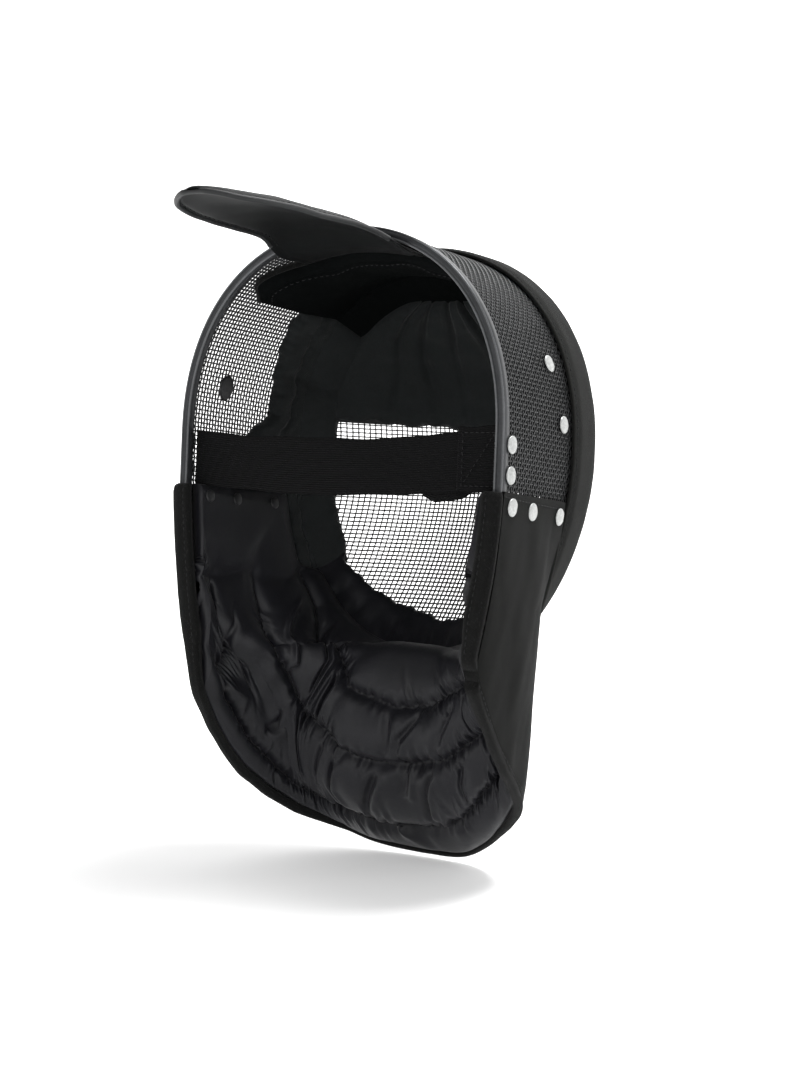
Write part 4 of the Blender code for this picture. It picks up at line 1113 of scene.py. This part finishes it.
def bib_edge():
    steps = linspace(0.004, 1, 60)
    shares = stations(120)[1:]
    paths, inners = [], []
    for side in (1, -1):
        ends = [bib_surface(0 * steps, steps, side), bib_surface(shares, 0 * shares + 1, side)]
        inside = [bib_surface(0 * steps + 0.02, steps, side), bib_surface(shares, 0 * shares + 0.97, side)]
        paths.append(concatenate(ends))
        inners.append(concatenate(inside))
    path, inner = smooth(mirror_half(*paths), 3), mirror_half(*inners)
    turn = hem_turn(concatenate([0 * steps, shares]))
    across = mirror_half(stack([cos(turn), -sin(turn), 0 * turn], -1))
    tangent = unit(smooth(gradient(path, axis=0), 4))
    across = unit(across - tangent * np.sum(across * tangent, -1, keepdims=True))
    away = unit(np.cross(tangent, across))
    away = where(np.sum(away * (inner - path), -1, keepdims=True) > 0, -away, away)
    count = len(path)
    index = minimum(arange(count), count - 1 - arange(count))
    thin = smooth(clamp((index - len(steps) + 14) / 24), 6)
    wall = 0.0047 * (1 - 0.42 * thin)
    width = 0.0145 * (1 - 0.55 * thin)
    end = clamp(index / 3.0) ** 0.5
    angle = linspace(0, 2 * pi, 28, endpoint=False)
    c, s = power(cos(angle), 0.7), power(sin(angle), 0.8)
    middle = BIB_WALL + 0.0006 - width / 2
    swell = 1 + 0.10 * lumps(path, 0.03, 81)
    lateral = middle[:, None] + (width / 2 * (0.75 + 0.25 * end))[:, None] * c[None]
    floor = -0.0004 - 0.0030 * thin
    high = 3 * CLEAR + wall * swell * (0.55 + 0.45 * end)
    depth = (floor + high)[:, None] / 2 + ((high - floor) / 2)[:, None] * s[None]
    seam = bell(c + 0.30, 0.10) * (s > 0)
    depth = depth - 0.0007 * seam[None] * (1 - thin)[:, None]
    rings = path[:, None] + across[:, None] * lateral[..., None] + away[:, None] * depth[..., None]
    made = skin_rings("bib_edge_binding", rings, "edge")
    finish_piece(made, "bib_edge", fill=0.8)
    at = int(np.argmin(np.abs(c + 0.30) + 9 * (s < 0)))
    for name, part in (("left", slice(2, 58)), ("right", slice(count - 58, count - 2))):
        stitches(f"edge_stitches_{name}", rings[part, at], away[part], 0.0026, 0.0018)


# Fastenings: a turned form from rows of radius and height
def turned(name, rows, centre, normal, mat, sides, tall=1.0, wide=1.0, dents=0.0, seed=0):
    side = unit(np.cross([0.0, 0.0, 1.0], normal))
    up = np.cross(normal, side)
    angle = linspace(0, 2 * pi, sides, endpoint=False)
    rings = []
    for radius, height in rows:
        ring = side * (cos(angle) * radius * wide)[:, None]
        ring = ring + up * (sin(angle) * radius * tall)[:, None]
        rings.append(centre + ring + normal * height)
    rings = array(rings)
    if dents:
        rings += normal * (lumps(rings, 0.006, seed) * dents)[..., None]
    return skin_rings(name, rings, mat, smooth_angle=60)


HEAD = [(0.0004, 0.0), (0.0052, 0.0), (0.0056, 0.0003), (0.0055, 0.0007), (0.0049, 0.0011),
        (0.0038, 0.00135), (0.0020, 0.0015), (0.0003, 0.00155)]


def rivets():
    for node in sorted(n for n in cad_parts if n.startswith(("rivet_", "back_bib_", "side_spot"))):
        low, high = (array(c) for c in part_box(node))
        centre = (low + high) / 2
        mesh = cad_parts[node].data
        faces = sorted(mesh.polygons, key=lambda f: -f.area)[:2]
        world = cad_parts[node].matrix_world
        facing = array(world.to_3x3() @ faces[0].normal)
        inward = node.startswith(("back_", "side_spot"))
        sign = np.sign(np.dot(facing, centre - CENTRE)) * (-1 if inward else 1)
        facing = unit(facing * sign)
        base = centre - facing * 0.0007
        if node == "side_spot":
            rows = [(0.05, 0.0), (0.95, 0.0), (1.0, 0.0003), (0.97, 0.0008), (0.8, 0.001), (0.05, 0.001)]
            base = centre - facing * 0.0005
            made = turned("side_spot_disc", rows, base, facing, "rivet_back", 40, 0.00875, 0.007)
        elif inward:
            rows = [(r * 0.76, h) for r, h in HEAD]
            made = turned(f"{node}_cap", rows, base, facing, "rivet_back", 24)
        else:
            made = turned(f"{node}_head", HEAD, base, facing, "rivet", 30, 1, 1, 0.00016, len(node))
        finish_piece(made, node)


# Floor, backdrop and light
def stage():
    floor_z = cad_box[0][2] - 0.003
    near, far, turn, high, half_width = 1.2, 1.6, 1.2, 6.0, 6.0
    profile = [(near, 0.0), (-far, 0.0)]
    for angle in linspace(0, pi / 2, 13)[1:]:
        profile.append((-far - turn * math.sin(angle), turn - turn * math.cos(angle)))
    profile.append((-far - turn, high))
    away = Vector((AHEAD.x, AHEAD.y, 0)).normalized()
    side = Vector((ACROSS.x, ACROSS.y, 0)).normalized()
    points = [away * (-along) + side * s + Vector((0, 0, floor_z + height))
              for along, height in profile for s in (-half_width, half_width)]
    faces = [[2 * n, 2 * n + 1, 2 * n + 3, 2 * n + 2] for n in range(len(profile) - 1)]
    made, tree, shader = nodes_of("floor_white")
    place = tree.nodes.new("ShaderNodeTexCoord").outputs["Object"]
    grain = ramp_node(tree, noise_node(tree, place, 4.0), 0.3, (0.84, 0.84, 0.84), 0.7, (0.88, 0.88, 0.88))
    link(tree, grain, shader.inputs["Base Color"])
    length = tree.nodes.new("ShaderNodeVectorMath")
    length.operation = "LENGTH"
    link(tree, place, length.inputs[0])
    # The floor and backdrop glow with painted light: emission 0.30 within 0.62 m of the origin near the
    # mask, rising to 0.92 further out so the backdrop reads white while the lamps' shadow still shows
    painted_glow = math_node(tree, "MULTIPLY", math_node(tree, "SUBTRACT", length.outputs["Value"], 0.62), 1.6)
    painted_glow = math_node(tree, "MINIMUM", math_node(tree, "MAXIMUM", painted_glow, 0.0), 0.62)
    link(tree, math_node(tree, "ADD", painted_glow, 0.30), shader.inputs["Emission Strength"])
    put(shader, Emission_Color=(1, 1, 1, 1), Roughness=0.9, Specular_IOR_Level=0.1)
    mesh = bpy.data.meshes.new("floor")
    mesh.from_pydata(points, [], faces)
    mesh.shade_smooth()
    mesh.materials.append(made)
    floor = bpy.data.objects.new("floor", mesh)
    scene = bpy.context.scene
    scene.collection.objects.link(floor)
    scene.world = bpy.data.worlds.new("studio")
    scene.world.use_nodes = True
    put(scene.world.node_tree.nodes["Background"], Color=(1, 1, 1, 1), Strength=0.42)
    scene.view_settings.view_transform = "Standard"

    # Each lamp: its place from the mask's middle, size and power
    middle = Vector((0.0, -0.02, -0.18))
    for name, place, size, power_watts in (
            ("key", side * 0.62 + away * 0.1 + Vector((0, 0, 1.9)), (0.8, 0.8), 46),
            ("front", side * -0.5 - away * 1.7 + Vector((0, 0, 0.5)), (1.0, 1.2), 7),
            ("right", side * 1.6 - away * 0.5 + Vector((0, 0, 0.3)), (0.5, 1.2), 7)):
        data = bpy.data.lights.new(name, "AREA")
        data.shape = "RECTANGLE"
        data.size, data.size_y = size
        data.energy = power_watts
        lamp = bpy.data.objects.new(name, data)
        lamp.location = middle + place
        lamp.rotation_euler = (-place).to_track_quat("-Z", "Y").to_euler()
        scene.collection.objects.link(lamp)


for build in (side_wires, face_wires, rear_rim, cover_strip, tongue, strap, crown_pad, forehead_pad,
              cheek_pads, chin_pad, bib, bib_lining, bib_edge, rivets, stage):
    build()
